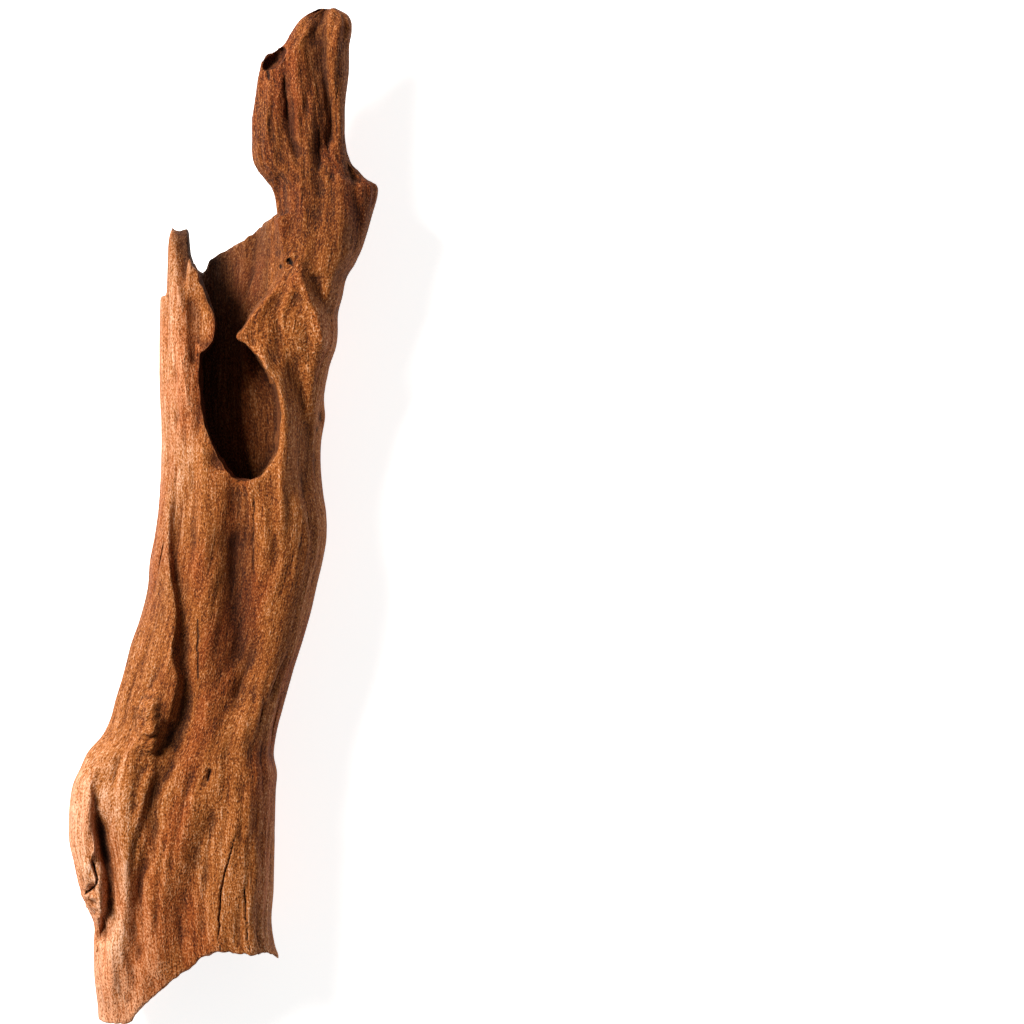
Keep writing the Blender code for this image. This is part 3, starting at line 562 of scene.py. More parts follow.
# %% Upper folds: height, reach left and right, crest from the top down
FOLDS = (
    # the slab on the left, the valley beside it and the knot under it
    (2.4, 8, 2.4, ((-22, 12), (-24.4, -10), (-24.4, -22), (-21.4, -43), (-23.4, -61), (-21, -74),
                   (-28, -98))),
    (-3.4, 3.4, 4.6, ((-18.5, 19), (-19.8, -1), (-20.6, -19), (-18.6, -37), (-17.2, -51), (-16.8, -69),
                      (-18.2, -85), (-21.6, -98), (-28.5, -109))),
    (4.4, 4.6, 4.8, ((-33.3, -80), (-32, -94), (-32.4, -106))),
    # the broad light ridge under the opening, and the valley beside it
    (2.4, 5, 5.5, ((-8, 8), (-6.8, -19), (-6.3, -46), (-7.2, -73), (-8.6, -100))),
    (-2.6, 7, 11, ((8, 20), (7.4, -2), (7, -24), (8.4, -50), (8.8, -72))),
    (-4.0, 6, 9, ((7, -2), (8, -30), (9, -62), (7, -90))),
    # right edge: the ridge that runs down from the opening, the valley beyond it and the ridge below
    (2.0, 3.4, 3.8, ((17, 72.5), (25, 62), (28.6, 52), (29.6, 35), (27.8, 12), (26.6, -12))),
    (-2.0, 4, 5.5, ((34.2, 80), (35.6, 53), (35.6, 30), (34.2, 8))),
    (1.4, 7, 5, ((34, 10), (36.5, -6), (37.4, -24), (34.2, -46), (29.7, -69))),
    # lower end: furrows and ridges that lean to the left as they run down
    (-2.3, 3.4, 3.0, ((-15.3, -100), (-25.2, -116), (-29.7, -127), (-31.5, -150), (-35.6, -161),
                      (-38.7, -177), (-39.2, -199), (-38.5, -220))),
    (2.0, 5, 4.5, ((-40, -109), (-42.3, -127), (-43.2, -150), (-44.5, -172), (-47.7, -195),
                   (-50.4, -220))),
    (-0.8, 2.2, 2.6, ((-36.5, -110), (-38.4, -121), (-38.7, -132))),
    (1.5, 4.5, 5, ((-11, -122), (-19.5, -141), (-26.5, -163), (-29, -190), (-29.5, -212))),
    (-1.6, 3.5, 5, ((-2, -128), (-9.5, -148), (-16, -170), (-18, -195))),
    (1.3, 5, 5, ((12, -120), (5, -150), (0, -175), (-2, -196))),
    (-1.0, 3, 4, ((8, -140), (6, -165), (7, -196))),
    # the broad shoulder down the right side, and the ridge that leads to it
    (4.4, 12, 8, ((21, -78), (15, -100), (14.5, -125), (14, -150), (13, -180), (13, -216))),
    (1.7, 8, 6, ((34, -16), (28, -50), (19, -78), (13, -104))),
    # small furrows between them, and one small ridge
    (-1.1, 1.7, 2.3, ((-27, -109), (-32, -124), (-35, -135.5), (-39.3, -150), (-40.7, -164))),
    (-1.3, 1.6, 2.2, ((-35, -147), (-36.5, -164), (-35.7, -186), (-37.8, -200))),
    (-1.2, 1.5, 2.1, ((-24.8, -142.6), (-27.7, -157), (-29.2, -171.5), (-30.6, -193.5))),
    (-1.2, 1.5, 2.1, ((-13, -112), (-17, -128), (-21.5, -146), (-24, -160))),
    (-1.1, 1.5, 2.1, ((-4, -134), (-6.5, -152), (-8.5, -172), (-9, -190))),
    (-0.7, 2.0, 2.2, ((-48.7, -186), (-47.3, -200.6), (-45.1, -212), (-41.5, -219))),
    (-1.1, 1.5, 2.0, ((-46.5, -104), (-48.5, -120), (-48.5, -140), (-47, -162))),
    (1.1, 2.2, 2.2, ((-31, -112), (-35.6, -126), (-38.6, -140))),
    # the knot on the left, and the recess under its right side
    (2.6, 5, 4, ((-32, -82), (-31, -90), (-30.5, -98))),
    (-2.2, 2.4, 3, ((-23.4, -90), (-25.6, -99), (-30, -106.5))),
    # the lip that rolled over an old scar, the trough between it and the face, and the scar's cavity
    (2.2, 6, 3.2, ((-58, -108), (-62, -121), (-62.6, -141), (-61.6, -158), (-58.5, -174))),
    (-2.0, 2.4, 6, ((-55, -112), (-56.4, -126), (-54.6, -141), (-51.5, -156))),
    (-6.4, 2.4, 5.2, ((-57, -131), (-54, -147), (-51.4, -158), (-50.2, -168), (-52.4, -181),
                      (-56, -192))),
    (-2.6, 1.8, 2.2, ((-59.4, -164), (-58.6, -169), (-58, -174), (-57, -180))),
    # a small torn pit
    (-1.5, 1.3, 1.7, ((-5.2, -112), (-6.4, -116), (-8.2, -121))),
    # upper end: the creases inside the left wall's arris
    (-1.4, 1.8, 2.2, ((-14.6, 100), (-14, 78), (-12.6, 68))),
    (-2.2, 4, 3, ((-6.5, 106), (-3, 92), (-3.4, 82), (-7.5, 74))),
    (-4.6, 4.5, 5, ((-11.5, 104), (-10.5, 84), (-9.5, 66), (-8.6, 46), (-4, 30), (2, 20))),
    # the two ridges that part below the neck, and the dished wood between them
    (1.9, 3.2, 3.2, ((33.8, 115), (36, 103), (41.4, 94), (45.6, 84), (47.5, 73))),
    (-1.5, 3, 3, ((34, 101), (35, 90), (38.5, 78), (40, 66))),
    (-2.4, 2.6, 4, ((40.6, 109), (44.6, 99), (48, 89.5))),
    (-1.5, 4, 4, ((44, 143), (41, 125), (42.3, 104), (44, 90))),
    # the paddle's two grooves and the rounded ridges beside them
    (-3.6, 5.4, 2.4, ((44.8, 240), (43.8, 216), (45, 198), (47.4, 182), (47.8, 172), (44, 158))),
    (-2.1, 2.2, 2.8, ((26.4, 205), (28.6, 192), (29.6, 179), (31, 170), (36, 160))),
    (1.4, 5, 4, ((35, 214), (36.5, 197), (38, 179), (38, 160), (34.5, 143))),
    (-1.5, 2.0, 2.4, ((36.4, 216), (38.2, 206), (39, 192), (37.4, 178))),
    (-0.7, 1.8, 2.4, ((20.4, 190), (21.4, 178), (23.6, 166), (27, 154))),
    (1.3, 2.2, 2.2, ((32.6, 206), (33.4, 192), (34.2, 176), (35, 166))),
    (-0.9, 1.8, 2.2, ((40.4, 226), (40.6, 219), (41.6, 210))),
    (1.7, 3.2, 3.4, ((51.5, 223), (51.4, 201), (50.6, 179), (51.4, 161), (53.4, 143), (52.6, 124))),
    (-1.0, 1.8, 2.6, ((42, 170), (42.6, 156), (44, 142))),
    (-1.6, 1.6, 2.2, ((46, 198), (47.4, 188), (48, 177), (46.5, 166))),
    (-1.4, 4.6, 2.2, ((43.5, 240), (44.5, 222), (45.5, 208), (46, 196))),
    (1.2, 3.5, 3.5, ((20, 192), (19, 175), (21, 160))),
    # the groove that parts the hook from the neck, and the small dent in the neck's left edge
    (-2.8, 2.2, 3.0, ((55.4, 161), (58.2, 149), (59.2, 134), (56.6, 119))),
    (-2.0, 2.6, 3.2, ((24, 154), (26, 145), (27.4, 134))),
)  # fmt: skip

# %% Arrises: folds that come to an edge
ARRISES = (
    (2.6, 7, 1.7, ((-23.4, 12), (-24.2, -8), (-24.1, -21), (-20.4, -43), (-22.6, -62), (-19, -73.5),
                   (-21.2, -85), (-29, -101))),
    (3.2, 7, 1.5, ((-59, -118), (-58.4, -136), (-57, -148), (-59, -155), (-56.4, -161), (-54.2, -173),
                   (-55, -183))),
    (3.4, 6, 4.5, ((-20.4, 136), (-20.6, 112), (-20.4, 92), (-19.4, 76), (-16.6, 60), (-14, 46))),
    (1.5, 2.6, 2.6, ((-10.8, 80), (-9.6, 66), (-8.6, 50), (-6.6, 36), (-3.4, 27))),
    (0.8, 2.2, 3.4, ((33.6, 117), (30, 107), (21.6, 98), (14, 89), (8.6, 82))),
    (1.8, 3.4, 3.0, ((33.8, 111), (38.6, 99), (41.6, 91.5), (44.4, 82), (46.4, 73))),
    (1.4, 2.2, 2.6, ((11, 77.5), (17.4, 69.6), (24.6, 61), (27.6, 48), (27.6, 34), (26, 18), (26.4, 4))),
)  # fmt: skip

# %% Lower folds, seen through the wood from above
UNDER_FOLDS = (
    (3.0, 6, 6, ((20, 100), (24, 40), (26, -10), (12, -70), (-6, -120), (-10, -190))),
    (-3.4, 5, 4, ((4, 110), (8, 60), (10, 0), (-2, -60), (-20, -110), (-28, -200))),
    (2.4, 5, 7, ((-14, 90), (-12, 30), (-14, -30), (-26, -80), (-40, -130), (-46, -200))),
    (-3.0, 3, 3.5, ((36, 90), (37, 40), (36, -10), (24, -64))),
    (3.6, 5, 5, ((-26, -46), (-31, -58), (-36, -68))),
    (-2.6, 3, 3, ((-32, -100), (-40, -140), (-50, -190))),
    (2.2, 4, 4, ((4, -96), (6, -140), (8, -190))),
    # the three low points that it lies on, two of them on long swells
    (4.8, 9, 9, ((-24, -155), (-25, -165))),
    (2.4, 10, 10, ((-16, 70), (-16, 44))),
    (4.2, 12, 12, ((-15, 108), (-16, 70), (-16, 44), (-15, 4))),
    (2.4, 10, 10, ((30.4, 44), (30.4, 14))),
    (4.2, 12, 12, ((29, 84), (30.4, 44), (30.4, 14), (29, -26))),
    # under the neck and the paddle
    (-3.0, 4, 4, ((30, 212), (33, 180), (38, 150), (44, 118), (40, 88))),
    (2.4, 4, 4, ((42, 216), (44, 180), (52, 146), (54, 112), (48, 80))),
    (2.0, 4, 4, ((22, 196), (24, 172), (32, 140), (32, 110))),
)  # fmt: skip


def along_path(x, y, crest, pieces=24):
    """For each point, its distance from a smooth path, the side it is on (negative is left of a
    path that runs down) and how far along the path it is, from 0 to 1."""
    crest = np.array(crest, float)
    steps = np.arange(len(crest))
    at = np.linspace(0, len(crest) - 1, pieces + 1)
    path = np.stack([curve_through(np.stack([steps, crest[:, k]], 1), at) for k in (0, 1)], 1)
    start, step = path[:-1], np.diff(path, axis=0)
    dx, dy = x[:, None] - start[:, 0], y[:, None] - start[:, 1]
    t = np.clip((dx * step[:, 0] + dy * step[:, 1]) / (step**2).sum(1), 0, 1)
    away = np.hypot(dx - t * step[:, 0], dy - t * step[:, 1])
    nearest = away.argmin(1)
    row = np.arange(len(x))
    side = step[nearest, 0] * dy[row, nearest] - step[nearest, 1] * dx[row, nearest]
    return away[row, nearest], side, (nearest + t[row, nearest]) / pieces


def near_path(x, y, crest, reach):
    """The indices of the points in the box round a path, widened by reach."""
    low, high = np.min(crest, 0) - reach, np.max(crest, 0) + reach
    return np.flatnonzero((x > low[0]) & (x < high[0]) & (y > low[1]) & (y < high[1]))


FADE_LOW, FADE_HIGH = -0.06, 0.14


def fold_height(x, y, shapes, power=2):
    """The sum of the folds: each is its height times exp(-(distance / reach)^power), faded in and
    out at its ends. Power 2 is a rounded bell, and power 1 comes to an edge."""
    total = np.zeros(len(x))
    for height, left, right, crest in shapes:
        near = near_path(x, y, crest, 3 * max(left, right))
        away, side, share = along_path(x[near], y[near], crest)
        fade = smooth_step(FADE_LOW, FADE_HIGH, share) * smooth_step(FADE_LOW, FADE_HIGH, 1 - share)
        total[near] += height * fade * np.exp(-((away / np.where(side < 0, left, right)) ** power))
    return total


write_points(blank, points)
normals = read_normals(blank)
x, y, _ = points.T
up, down = smooth_step(0.05, 0.55, normals[:, 2]), smooth_step(0.05, 0.55, -normals[:, 2])
upper_form = fold_height(x, y, FOLDS) + fold_height(x, y, ARRISES, power=1)
points[:, 2] += outside * (up * upper_form - down * fold_height(x, y, UNDER_FOLDS))
print("folds: from", round(float(upper_form.min()), 1), "to", round(float(upper_form.max()), 1), "mm")

# %% [markdown]
# ## Grain
# Every fibre runs from the lower end to the tip. A point's place across the fibres is measured
# between the trunk's two edges, so that the lines of grain lean and spread as the trunk does. Above
# the opening they gather again towards the neck. Round a knot they part.

# %% Place in the grain
TRUNK_GRAIN_WIDTH = 77
NECK_LINE = (
    (30, 36), (40, 36), (55, 37), (70, 35), (85, 34), (100, 38), (115, 42), (137, 45.5), (150, 46),
    (172, 45), (200, 42.5), (228, 41),
)  # fmt: skip
NECK_SPREAD = ((30, 1), (40, 1), (60, 0.82), (85, 0.66), (105, 0.8), (130, 1), (228, 1))
# Where the neck's middle line lies across the grain
NECK_ACROSS = 29.9
# Place, reach across and along, and how far the grain is pushed aside
KNOTS = ((-33, -94, 6, 14, 4.5), (-57, -168, 5, 9, 3.5), (32, 115, 4, 7, 2.5))


def grain_place(points):
    """Three numbers for each point, in millimetres: across the grain, along it, and up through the
    wood."""
    x, y, z = points.T
    left, right = curve_through(TRUNK_LEFT, y), curve_through(TRUNK_RIGHT, y)
    trunk_across = TRUNK_GRAIN_WIDTH * ((x - left) / (right - left) - 0.5)
    neck_across = NECK_ACROSS + (x - curve_through(NECK_LINE, y)) * curve_through(NECK_SPREAD, y)
    # the neck's own grain starts on the right of the opening and takes up the whole width above it
    in_neck = smooth_step(22, 48, y) * np.maximum(smooth_step(2, 10, x), smooth_step(128, 140, y))
    across = trunk_across + in_neck * (neck_across - trunk_across)
    for knot_x, knot_y, wide, long, push in KNOTS:
        dx, dy = (x - knot_x) / wide, (y - knot_y) / long
        across = across - push * dx * np.exp(-(dx**2) - dy**2)
    return np.stack([across, y, z], 1)


# %% [markdown]
# ## Weather
# Soft wood wears away between hard fibres. So the relief is noise on a lattice that is long along
# the grain and narrow across it, in four sizes: broad swells, furrows, ribs and fibres.

# %% Relief along the grain: size across and along in millimetres, height
RELIEF = ((14, 90, 0.60), (7, 110, 0.42), (3.3, 70, 0.34), (1.8, 26, 0.22))
GNARL_HEIGHT = 2.2
INSIDE_WEAR = 0.75
WORN_SMOOTH_BELOW = 4


def relief(place, seed):
    """The sum of the noises. Half of each but the first is sharpened: 1 - 2.2 |noise| has a narrow
    crest."""
    total = np.zeros(len(place))
    for n, (across, along, height) in enumerate(RELIEF):
        value = noise(place, (across, along, across), seed + n)
        total += height * (value if n == 0 else 0.5 * value + 0.5 * (1 - 2.2 * np.abs(value)))
    return total


def gnarl(points, seed):
    """Wood that is twisted round a knot: round lumps two millimetres across, with thin creases
    between them."""
    total = np.zeros(len(points))
    for knot_x, knot_y, wide, long, _ in KNOTS:
        dx, dy = (points[:, 0] - knot_x) / (1.3 * wide), (points[:, 1] - knot_y) / (1.2 * long)
        total = np.maximum(total, np.exp(-(dx**2) - dy**2))
    lumps = np.abs(noise(points, (3.4, 4.6, 3.4), seed))
    lumps = lumps + 0.5 * np.abs(noise(points, (1.7, 2.3, 1.7), seed + 1))
    return GNARL_HEIGHT * total * (lumps - 0.4)


place = grain_place(points)
# the neck and the paddle are more rugged than the trunk
rugged = 1 + 0.8 * smooth_step(120, 160, points[:, 1])
worn = rugged * relief(place, 20) + gnarl(points, 40)
off_floor = np.clip(points[:, 2] / WORN_SMOOTH_BELOW, 0, 1)
points = points + (np.where(outside > 0.5, 1, INSIDE_WEAR) * off_floor * worn)[:, None] * normals
print("relief: from", round(float(worn.min()), 1), "to", round(float(worn.max()), 1), "mm")

# %% [markdown]
# ## Cracks and pits
# Drying split the wood along its grain. A crack is a narrow V along a path on the upper face.

# %% Cracks: depth, half width, path from the top down
CRACKS = (
    (1.5, 0.6, ((14.7, 12.5), (14.2, 4), (13.9, -6), (13.8, -18), (13.7, -30))),
    (2.6, 0.5, ((6.8, -140.8), (5, -146.5), (3.2, -152.5), (0.6, -160), (0, -164.7), (-1, -177.3),
                 (-1.6, -185.4), (-1.2, -197))),
    (1.9, 0.42, ((9.9, -163.8), (10.5, -171), (10.8, -180), (12.1, -197))),
    (1.6, 0.6, ((-10.6, -44), (-11, -56), (-11, -66), (-10.8, -74))),
    (1.8, 0.8, ((-5.2, -112.6), (-6, -116), (-6.6, -118.6))),
    (2.6, 0.9, ((-58.9, -153), (-57.4, -158.6), (-56.5, -163), (-57.4, -167.2))),
    (2.4, 0.8, ((-56.4, -164.2), (-58.8, -166.8), (-62, -169.4))),
    (1.6, 0.6, ((-41, -52), (-42.5, -60), (-43.6, -68))),
    (1.3, 0.8, ((43.2, 176), (43, 166), (43.6, 156))),
    (1.8, 1.4, ((19.0, 203.5), (19.6, 200), (20.4, 196))),
    (1.8, 0.8, ((27, 200), (28.6, 186), (29.5, 176))),
    (3.0, 1.9, ((29.6, 116), (30.6, 114.4), (31.2, 112.6))),
    (1.8, 1.1, ((25.8, 113.4), (26, 112.2), (26, 111))),
    (2.2, 1.4, ((42.6, 50), (42.6, 46), (42.4, 41), (41.4, 37))),
)  # fmt: skip


CRACK_WANDER = 0.45


def crack_depth(x, y):
    """How deep the cracks are at each point, and how near it is to the middle of one, from 0 to 1."""
    depth, middle = np.zeros(len(x)), np.zeros(len(x))
    for deep, half, path in CRACKS:
        near = near_path(x, y, path, 2 * half)
        nothing = np.zeros(len(near))
        wander = CRACK_WANDER * noise(np.stack([nothing, y[near], nothing], 1), 3.1, 77)
        away, _, share = along_path(x[near] + wander, y[near], path)
        ends = smooth_step(0, 0.2, share) * smooth_step(0, 0.2, 1 - share)
        v_shape = np.clip(1 - away / (half * (0.35 + 0.65 * ends)), 0, 1) * (share > 0) * (share < 1)
        depth[near] = np.maximum(depth[near], deep * ends * v_shape)
        middle[near] = np.maximum(middle[near], v_shape)
    return depth, middle


split, _ = crack_depth(points[:, 0], points[:, 1])
points[:, 2] -= outside * up * split
# the low points of the underside are worn flat where it lies
points[:, 2] = np.maximum(points[:, 2], 0)
write_points(blank, points)
print("cracks:", len(CRACKS), "of up to", round(float(split.max()), 1), "mm")

# %% [markdown]
# ## Fewer faces
# The even mesh has more faces than a part should. The collapse takes them first where the wood is
# smooth.

# %% Thinning
FACE_BUDGET = 196000
wood = bpy.data.objects.new("weathered_wood", blank)
bpy.context.collection.objects.link(wood)
triangles = sum(len(face.vertices) - 2 for face in blank.polygons)
add_step(wood, "DECIMATE", ratio=FACE_BUDGET / triangles, use_collapse_triangulate=True)
print("before thinning:", triangles)
bpy.context.view_layer.update()
thin = bpy.data.meshes.new_from_object(wood.evaluated_get(bpy.context.evaluated_depsgraph_get()))
wood.modifiers.clear()
wood.data = thin
thin.name = "weathered_wood"
for spare in list(workshop.objects):
    bpy.data.objects.remove(spare)
bpy.data.collections.remove(workshop)
print("weathered wood:", len(thin.polygons), "faces")

# %% [markdown]
# ## What the material needs to know
# Each point carries its place in the grain, whether it is in the hollow, how far it stands out or lies
# back from its surroundings, how near it is to a crack, how pale it is, which is partly sun bleaching and
# partly painted light on the left side, and how bright, which holds painted shadow in the hollow.

# %% Attributes
# Along Y: how pale the left side is, partly from sun bleaching and partly painted light on the side that
# faces the lamp, and how much of the wood's width that reaches over
SUN_BLEACHED_AND_PAINTED_LIGHT = (
    (-230, 1.15), (-200, 1), (-168, 0.85), (-125, 1.0), (-100, 0.5), (-60, 0.3), (-20, 0.45),
    (20, 0.75), (132, 0.8),
)  # fmt: skip
BLEACHED_AND_LIT_REACH = (
    (-230, 0.7), (-205, 0.6), (-168, 0.52), (-125, 0.5), (-100, 0.35), (-20, 0.35), (132, 0.42),
)  # fmt: skip
# Along Y, on all sides: how much paler the wood is, or where this is negative, redder
PALER = ((-230, 0.3), (-140, 0.28), (-95, 0), (92, 0), (125, -0.3), (228, -0.3))
# Along Y: how bright the colour is on all sides, and how much of that the left side lacks
SHADE = ((-230, 1.04), (-130, 1.02), (-60, 0.98), (92, 0.97), (125, 0.84), (228, 0.9))
LEFT_LACKS = (
    (-230, 0), (-100, 0), (-60, 0.08), (-20, 0.15), (20, 0.13), (60, 0.09), (132, 0.06), (228, 0),
)  # fmt: skip
# A place that stands out this far, in millimetres, is a full ridge
FULL_RIDGE = 0.45
# How much painted shadow darkens the left part of the hollow
PAINTED_SHADOW_IN_HOLLOW = 0.5


def add_numbers(mesh, name, values):
    mesh.attributes.new(name, "FLOAT", "POINT").data.foreach_set("value", values.astype(np.float32))


points, edges = read_points(thin), read_edges(thin)
smooth_form = relax(points, edges, 0.5, 14)
thin.update()
normals = read_normals(thin)
stands_out = ((points - smooth_form) * normals).sum(1)
outside = on_outside(points)
up = smooth_step(0.05, 0.55, normals[:, 2])
_, middle = crack_depth(points[:, 0], points[:, 1])
place = grain_place(points)
grain = thin.attributes.new("grain", "FLOAT_VECTOR", "POINT")
grain.data.foreach_set("vector", place.astype(np.float32).ravel())
add_numbers(thin, "ridge", np.clip(stands_out / FULL_RIDGE, -1, 1))
add_numbers(thin, "hollow", 1 - outside)
add_numbers(thin, "crack", outside * up * middle)
across_face = (points[:, 0] - curve_through(TRUNK_LEFT, points[:, 1])) / TRUNK_GRAIN_WIDTH
sun_and_painted_light = curve_through(SUN_BLEACHED_AND_PAINTED_LIGHT, points[:, 1])
reach = curve_through(BLEACHED_AND_LIT_REACH, points[:, 1])
left_side = smooth_step(-1.0, -0.25, -across_face / reach)
# the pale left side is partly sun bleaching and partly painted light on the side that faces the lamp
bleached_and_painted_light = sun_and_painted_light * left_side + curve_through(PALER, points[:, 1])
shade = curve_through(SHADE, points[:, 1]) - left_side * curve_through(LEFT_LACKS, points[:, 1])
# painted shadow: the left part of the hollow, where the left wall's shadow falls, is darkened
shade *= 1 - PAINTED_SHADOW_IN_HOLLOW * (1 - outside) * smooth_step(-8, 6, -points[:, 0])
add_numbers(thin, "bleached_and_painted_light", bleached_and_painted_light * outside)
add_numbers(thin, "shade", shade)
thin.shade_smooth()
print("tone: shade from", round(float(shade.min()), 2), "to", round(float(shade.max()), 2))

# %% [markdown]
# ## Driftwood
# The wood is bare and matt. Water has washed the soft wood from between the fibres, so that it looks like
# coarse bristles lying side by side: light fibre tips, dark pores between them, and a warm red brown,
# with painted shade in the furrows, the cracks and the hollow.

# %% Nodes
def linear(hex_colour):
    """An sRGB colour such as #a06030 as the linear numbers that a shader takes."""
    channels = [int(hex_colour[i : i + 2], 16) / 255 for i in (1, 3, 5)]
    return (*[c / 12.92 if c <= 0.04045 else ((c + 0.055) / 1.055) ** 2.4 for c in channels], 1)


def add_node(tree, kind, settings=None, out=0, **links):
    """Adds a node, sets its properties and fills its sockets, by name or as i and a number: a value
    is set, and a socket is linked. Gives back the node's output."""
    node = tree.nodes.new(kind)
    for key, value in (settings or {}).items():
        setattr(node, key, value)
    for name, value in links.items():
        key = int(name[1:]) if name[0] == "i" and name[1:].isdigit() else name.replace("_", " ")
        if isinstance(value, bpy.types.NodeSocket):
            tree.links.new(value, node.inputs[key])
        else:
            node.inputs[key].default_value = value
    return node.outputs[out]


def set_stops(ramp_output, *pairs):
    """Sets the stops of the colour ramp that has this output: (position, colour) pairs."""
    ramp = ramp_output.node.color_ramp
    while len(ramp.elements) > 1:
        ramp.elements.remove(ramp.elements[-1])
    ramp.elements[0].position, ramp.elements[0].color = pairs[0]
    for position, colour in pairs[1:]:
        ramp.elements.new(position).color = colour


# %% Weathered wood
# How much of the tone comes from fibre ends, bristles and fibres, and from growth, ridges and the pale
# left side (sun bleaching and painted light)
FINE_SHARES = (0.44, 0.28, 0.28)
BROAD_SHARES = (0.14, 0.035, 0.12)
# how far the inside of the hollow is darkened: partly darker rotted wood, mostly painted shade
ROT_AND_PAINTED_SHADE_SHARE = 0.42


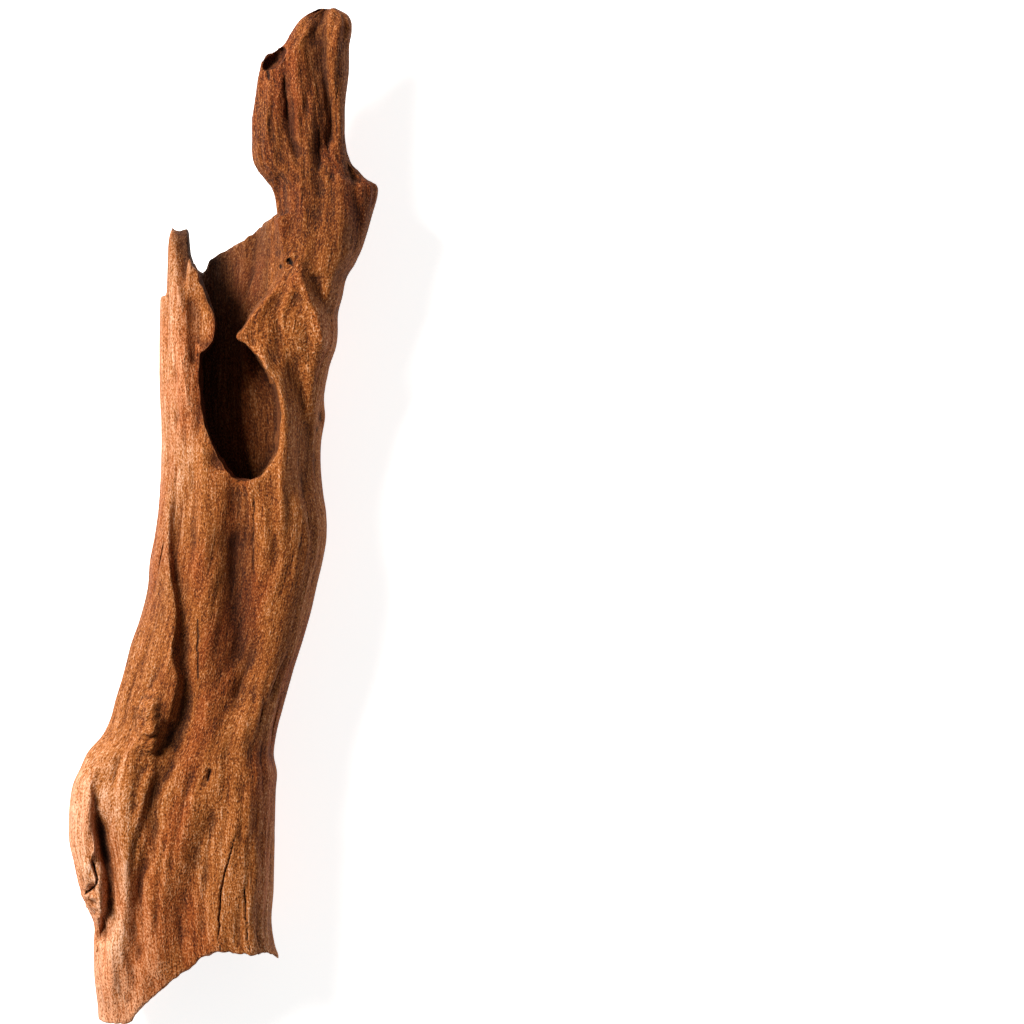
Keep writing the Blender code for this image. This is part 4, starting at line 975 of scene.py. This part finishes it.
def bare_driftwood():
    """Bare, matt, washed wood. The eye gets three things from it: grains of light and dark a millimetre
    across, as the ends of torn fibres; long streaks of growth; and a tone that is pale on the left side,
    partly sun bleaching and partly painted light, with painted shade in the furrows, the cracks and the
    hollow. Every pattern reads the grain attribute, in millimetres across, along and through."""
    material = bpy.data.materials.new("bare_driftwood")
    material.use_nodes = True
    tree = material.node_tree
    shader = tree.nodes["Principled BSDF"]
    place = add_node(tree, "ShaderNodeAttribute", {"attribute_name": "grain"}, out="Vector")

    def washed_grain(across, along, detail, seed):
        """Noise whose cells are so many millimetres across and along the grain."""
        cells = add_node(tree, "ShaderNodeVectorMath", {"operation": "MULTIPLY_ADD"}, i0=place,
                         i1=(1 / across, 1 / along, 1 / across), i2=(seed * 3.7, seed * 1.3, seed * 5.1))
        return add_node(tree, "ShaderNodeTexNoise", None, "Fac", Vector=cells, Scale=1.0, Detail=detail,
                        Roughness=0.6)

    # a single fibre is far too fine to show, so these are torn bundles of them, half a millimetre wide
    fibre_ends = washed_grain(0.5, 1.05, 1.0, 1)
    bristles = washed_grain(0.7, 6.5, 2.0, 2)
    fibres = washed_grain(1.2, 26, 3.0, 3)
    growth = washed_grain(6.5, 80, 2.0, 4)
    stains = washed_grain(24, 60, 2.0, 5)
    ridge = add_node(tree, "ShaderNodeAttribute", {"attribute_name": "ridge"}, "Fac")
    crack = add_node(tree, "ShaderNodeAttribute", {"attribute_name": "crack"}, "Fac")
    hollow_share = add_node(tree, "ShaderNodeAttribute", {"attribute_name": "hollow"}, "Fac")
    bleached_and_painted_light = add_node(tree, "ShaderNodeAttribute", {"attribute_name": "bleached_and_painted_light"}, "Fac")

    # how light each place is: every pattern times its share, as a place on a ramp of wood colours
    mix = {"data_type": "RGBA"}
    fine = add_node(tree, "ShaderNodeCombineXYZ", None, 0, i0=fibre_ends, i1=bristles, i2=fibres)
    fine = add_node(tree, "ShaderNodeVectorMath", {"operation": "DOT_PRODUCT"}, "Value", i0=fine,
                    i1=FINE_SHARES)
    broad = add_node(tree, "ShaderNodeCombineXYZ", None, 0, i0=growth, i1=ridge, i2=bleached_and_painted_light)
    broad = add_node(tree, "ShaderNodeVectorMath", {"operation": "DOT_PRODUCT"}, "Value", i0=broad,
                     i1=BROAD_SHARES)
    tone = add_node(tree, "ShaderNodeMath", {"operation": "ADD"}, i0=fine, i1=broad)
    colour = add_node(tree, "ShaderNodeValToRGB", None, "Color", Fac=tone)
    set_stops(colour, (0.39, linear("#2a1106")), (0.49, linear("#5e2b09")), (0.57, linear("#824310")),
              (0.65, linear("#a05e26")), (0.73, linear("#bc855f")), (0.84, linear("#e0b498")))
    # broad stains are redder
    reddened = add_node(tree, "ShaderNodeMix", {**mix, "blend_type": "MULTIPLY"}, 2, i0=1.0, i6=colour,
                        i7=linear("#f4dac2"))
    stain_share = add_node(tree, "ShaderNodeMapRange", None, 0, Value=stains, From_Min=0.47,
                           From_Max=0.62)
    colour = add_node(tree, "ShaderNodeMix", mix, 2, i0=stain_share, i6=colour, i7=reddened)
    # torn fibre ends catch the light, and the soft wood beside them is washed out into tiny pits,
    # fainter where the wood is red and its fibres are whole
    tips = add_node(tree, "ShaderNodeMapRange", None, 0, Value=fibre_ends, From_Min=0.57,
                    From_Max=0.72, To_Max=0.3)
    colour = add_node(tree, "ShaderNodeMix", mix, 2, i0=tips, i6=colour, i7=linear("#d49a68"))
    coarse = add_node(tree, "ShaderNodeMapRange", None, 0, Value=bleached_and_painted_light, From_Min=-0.3, From_Max=0.0,
                      To_Min=0.28, To_Max=0.5)
    pits = add_node(tree, "ShaderNodeMapRange", None, 0, Value=fibre_ends, From_Min=0.43,
                    From_Max=0.28, To_Max=coarse)
    colour = add_node(tree, "ShaderNodeMix", mix, 2, i0=pits, i6=colour, i7=linear("#200c04"))
    # painted shade: furrows (with some dirt in the grooves), the hollow (partly darker rotted wood) and
    # the cracks are darkened where shade falls in them
    painted_furrow_shade = add_node(tree, "ShaderNodeMapRange", None, 0, Value=ridge, From_Min=-0.1, From_Max=-0.9,
                      To_Max=0.5)
    colour = add_node(tree, "ShaderNodeMix", mix, 2, i0=painted_furrow_shade, i6=colour, i7=linear("#2a1207"))
    rot_and_painted_shade = add_node(tree, "ShaderNodeMath", {"operation": "MULTIPLY"}, i0=hollow_share,
                      i1=ROT_AND_PAINTED_SHADE_SHARE)
    colour = add_node(tree, "ShaderNodeMix", mix, 2, i0=rot_and_painted_shade, i6=colour, i7=linear("#2e1508"))
    # painted shade: the middle of each crack is coloured near black
    painted_crack_shade = add_node(tree, "ShaderNodeMapRange", None, 0, Value=crack, From_Min=0.2,
                           From_Max=0.8)
    colour = add_node(tree, "ShaderNodeMix", mix, 2, i0=painted_crack_shade, i6=colour, i7=linear("#120703"))
    shade = add_node(tree, "ShaderNodeAttribute", {"attribute_name": "shade"}, "Fac")
    colour = add_node(tree, "ShaderNodeVectorMath", {"operation": "SCALE"}, 0, i0=colour, Scale=shade)
    tree.links.new(colour, shader.inputs["Base Color"])

    # light fibre tips are polished a little, and the soft wood between them is dull
    dullness = add_node(tree, "ShaderNodeMapRange", None, 0, Value=tone, From_Min=0.5, From_Max=0.75,
                        To_Min=0.95, To_Max=0.7)
    tree.links.new(dullness, shader.inputs["Roughness"])
    shader.inputs["Specular IOR Level"].default_value = 0.25
    bump = add_node(tree, "ShaderNodeBump", None, "Normal", Strength=1.0, Distance=1.3 * MM, Height=fine)
    tree.links.new(bump, shader.inputs["Normal"])
    return material


thin.materials.clear()
thin.materials.append(bare_driftwood())
print("material:", thin.materials[0].name, len(thin.materials[0].node_tree.nodes), "nodes")

# %% [markdown]
# ## Floor
# A matt white board, larger than the view, with light behind it, so that what lies on it throws
# only a faint shadow.

# %% Floor
def floor_sheet(half, cells):
    """A level square grid in metres, a hair under z = 0."""
    side = np.linspace(-half, half, cells + 1)
    x, y = np.meshgrid(side, side, indexing="ij")
    grid = np.stack([x, y, np.full(x.shape, -0.0002)], -1).reshape(-1, 3)
    i, j = np.meshgrid(np.arange(cells), np.arange(cells), indexing="ij")
    first = (i * (cells + 1) + j).ravel()
    faces = np.stack([first, first + cells + 1, first + cells + 2, first + 1], -1)
    mesh = bpy.data.meshes.new("floor")
    mesh.from_pydata(grid.tolist(), [], faces.tolist())
    return mesh


floor = bpy.data.objects.new("floor", floor_sheet(3.0, 8))
bpy.context.collection.objects.link(floor)
board = bpy.data.materials.new("matt_white_board")
board.use_nodes = True
board_inputs = board.node_tree.nodes["Principled BSDF"].inputs
board_inputs["Base Color"].default_value = linear("#f4f2ef")
board_inputs["Roughness"].default_value = 0.9
board_inputs["Emission Color"].default_value = linear("#ffffff")
board_inputs["Emission Strength"].default_value = 0.82
floor.data.materials.append(board)

# %% Handing over
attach(wood, "root")
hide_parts("driftwood")
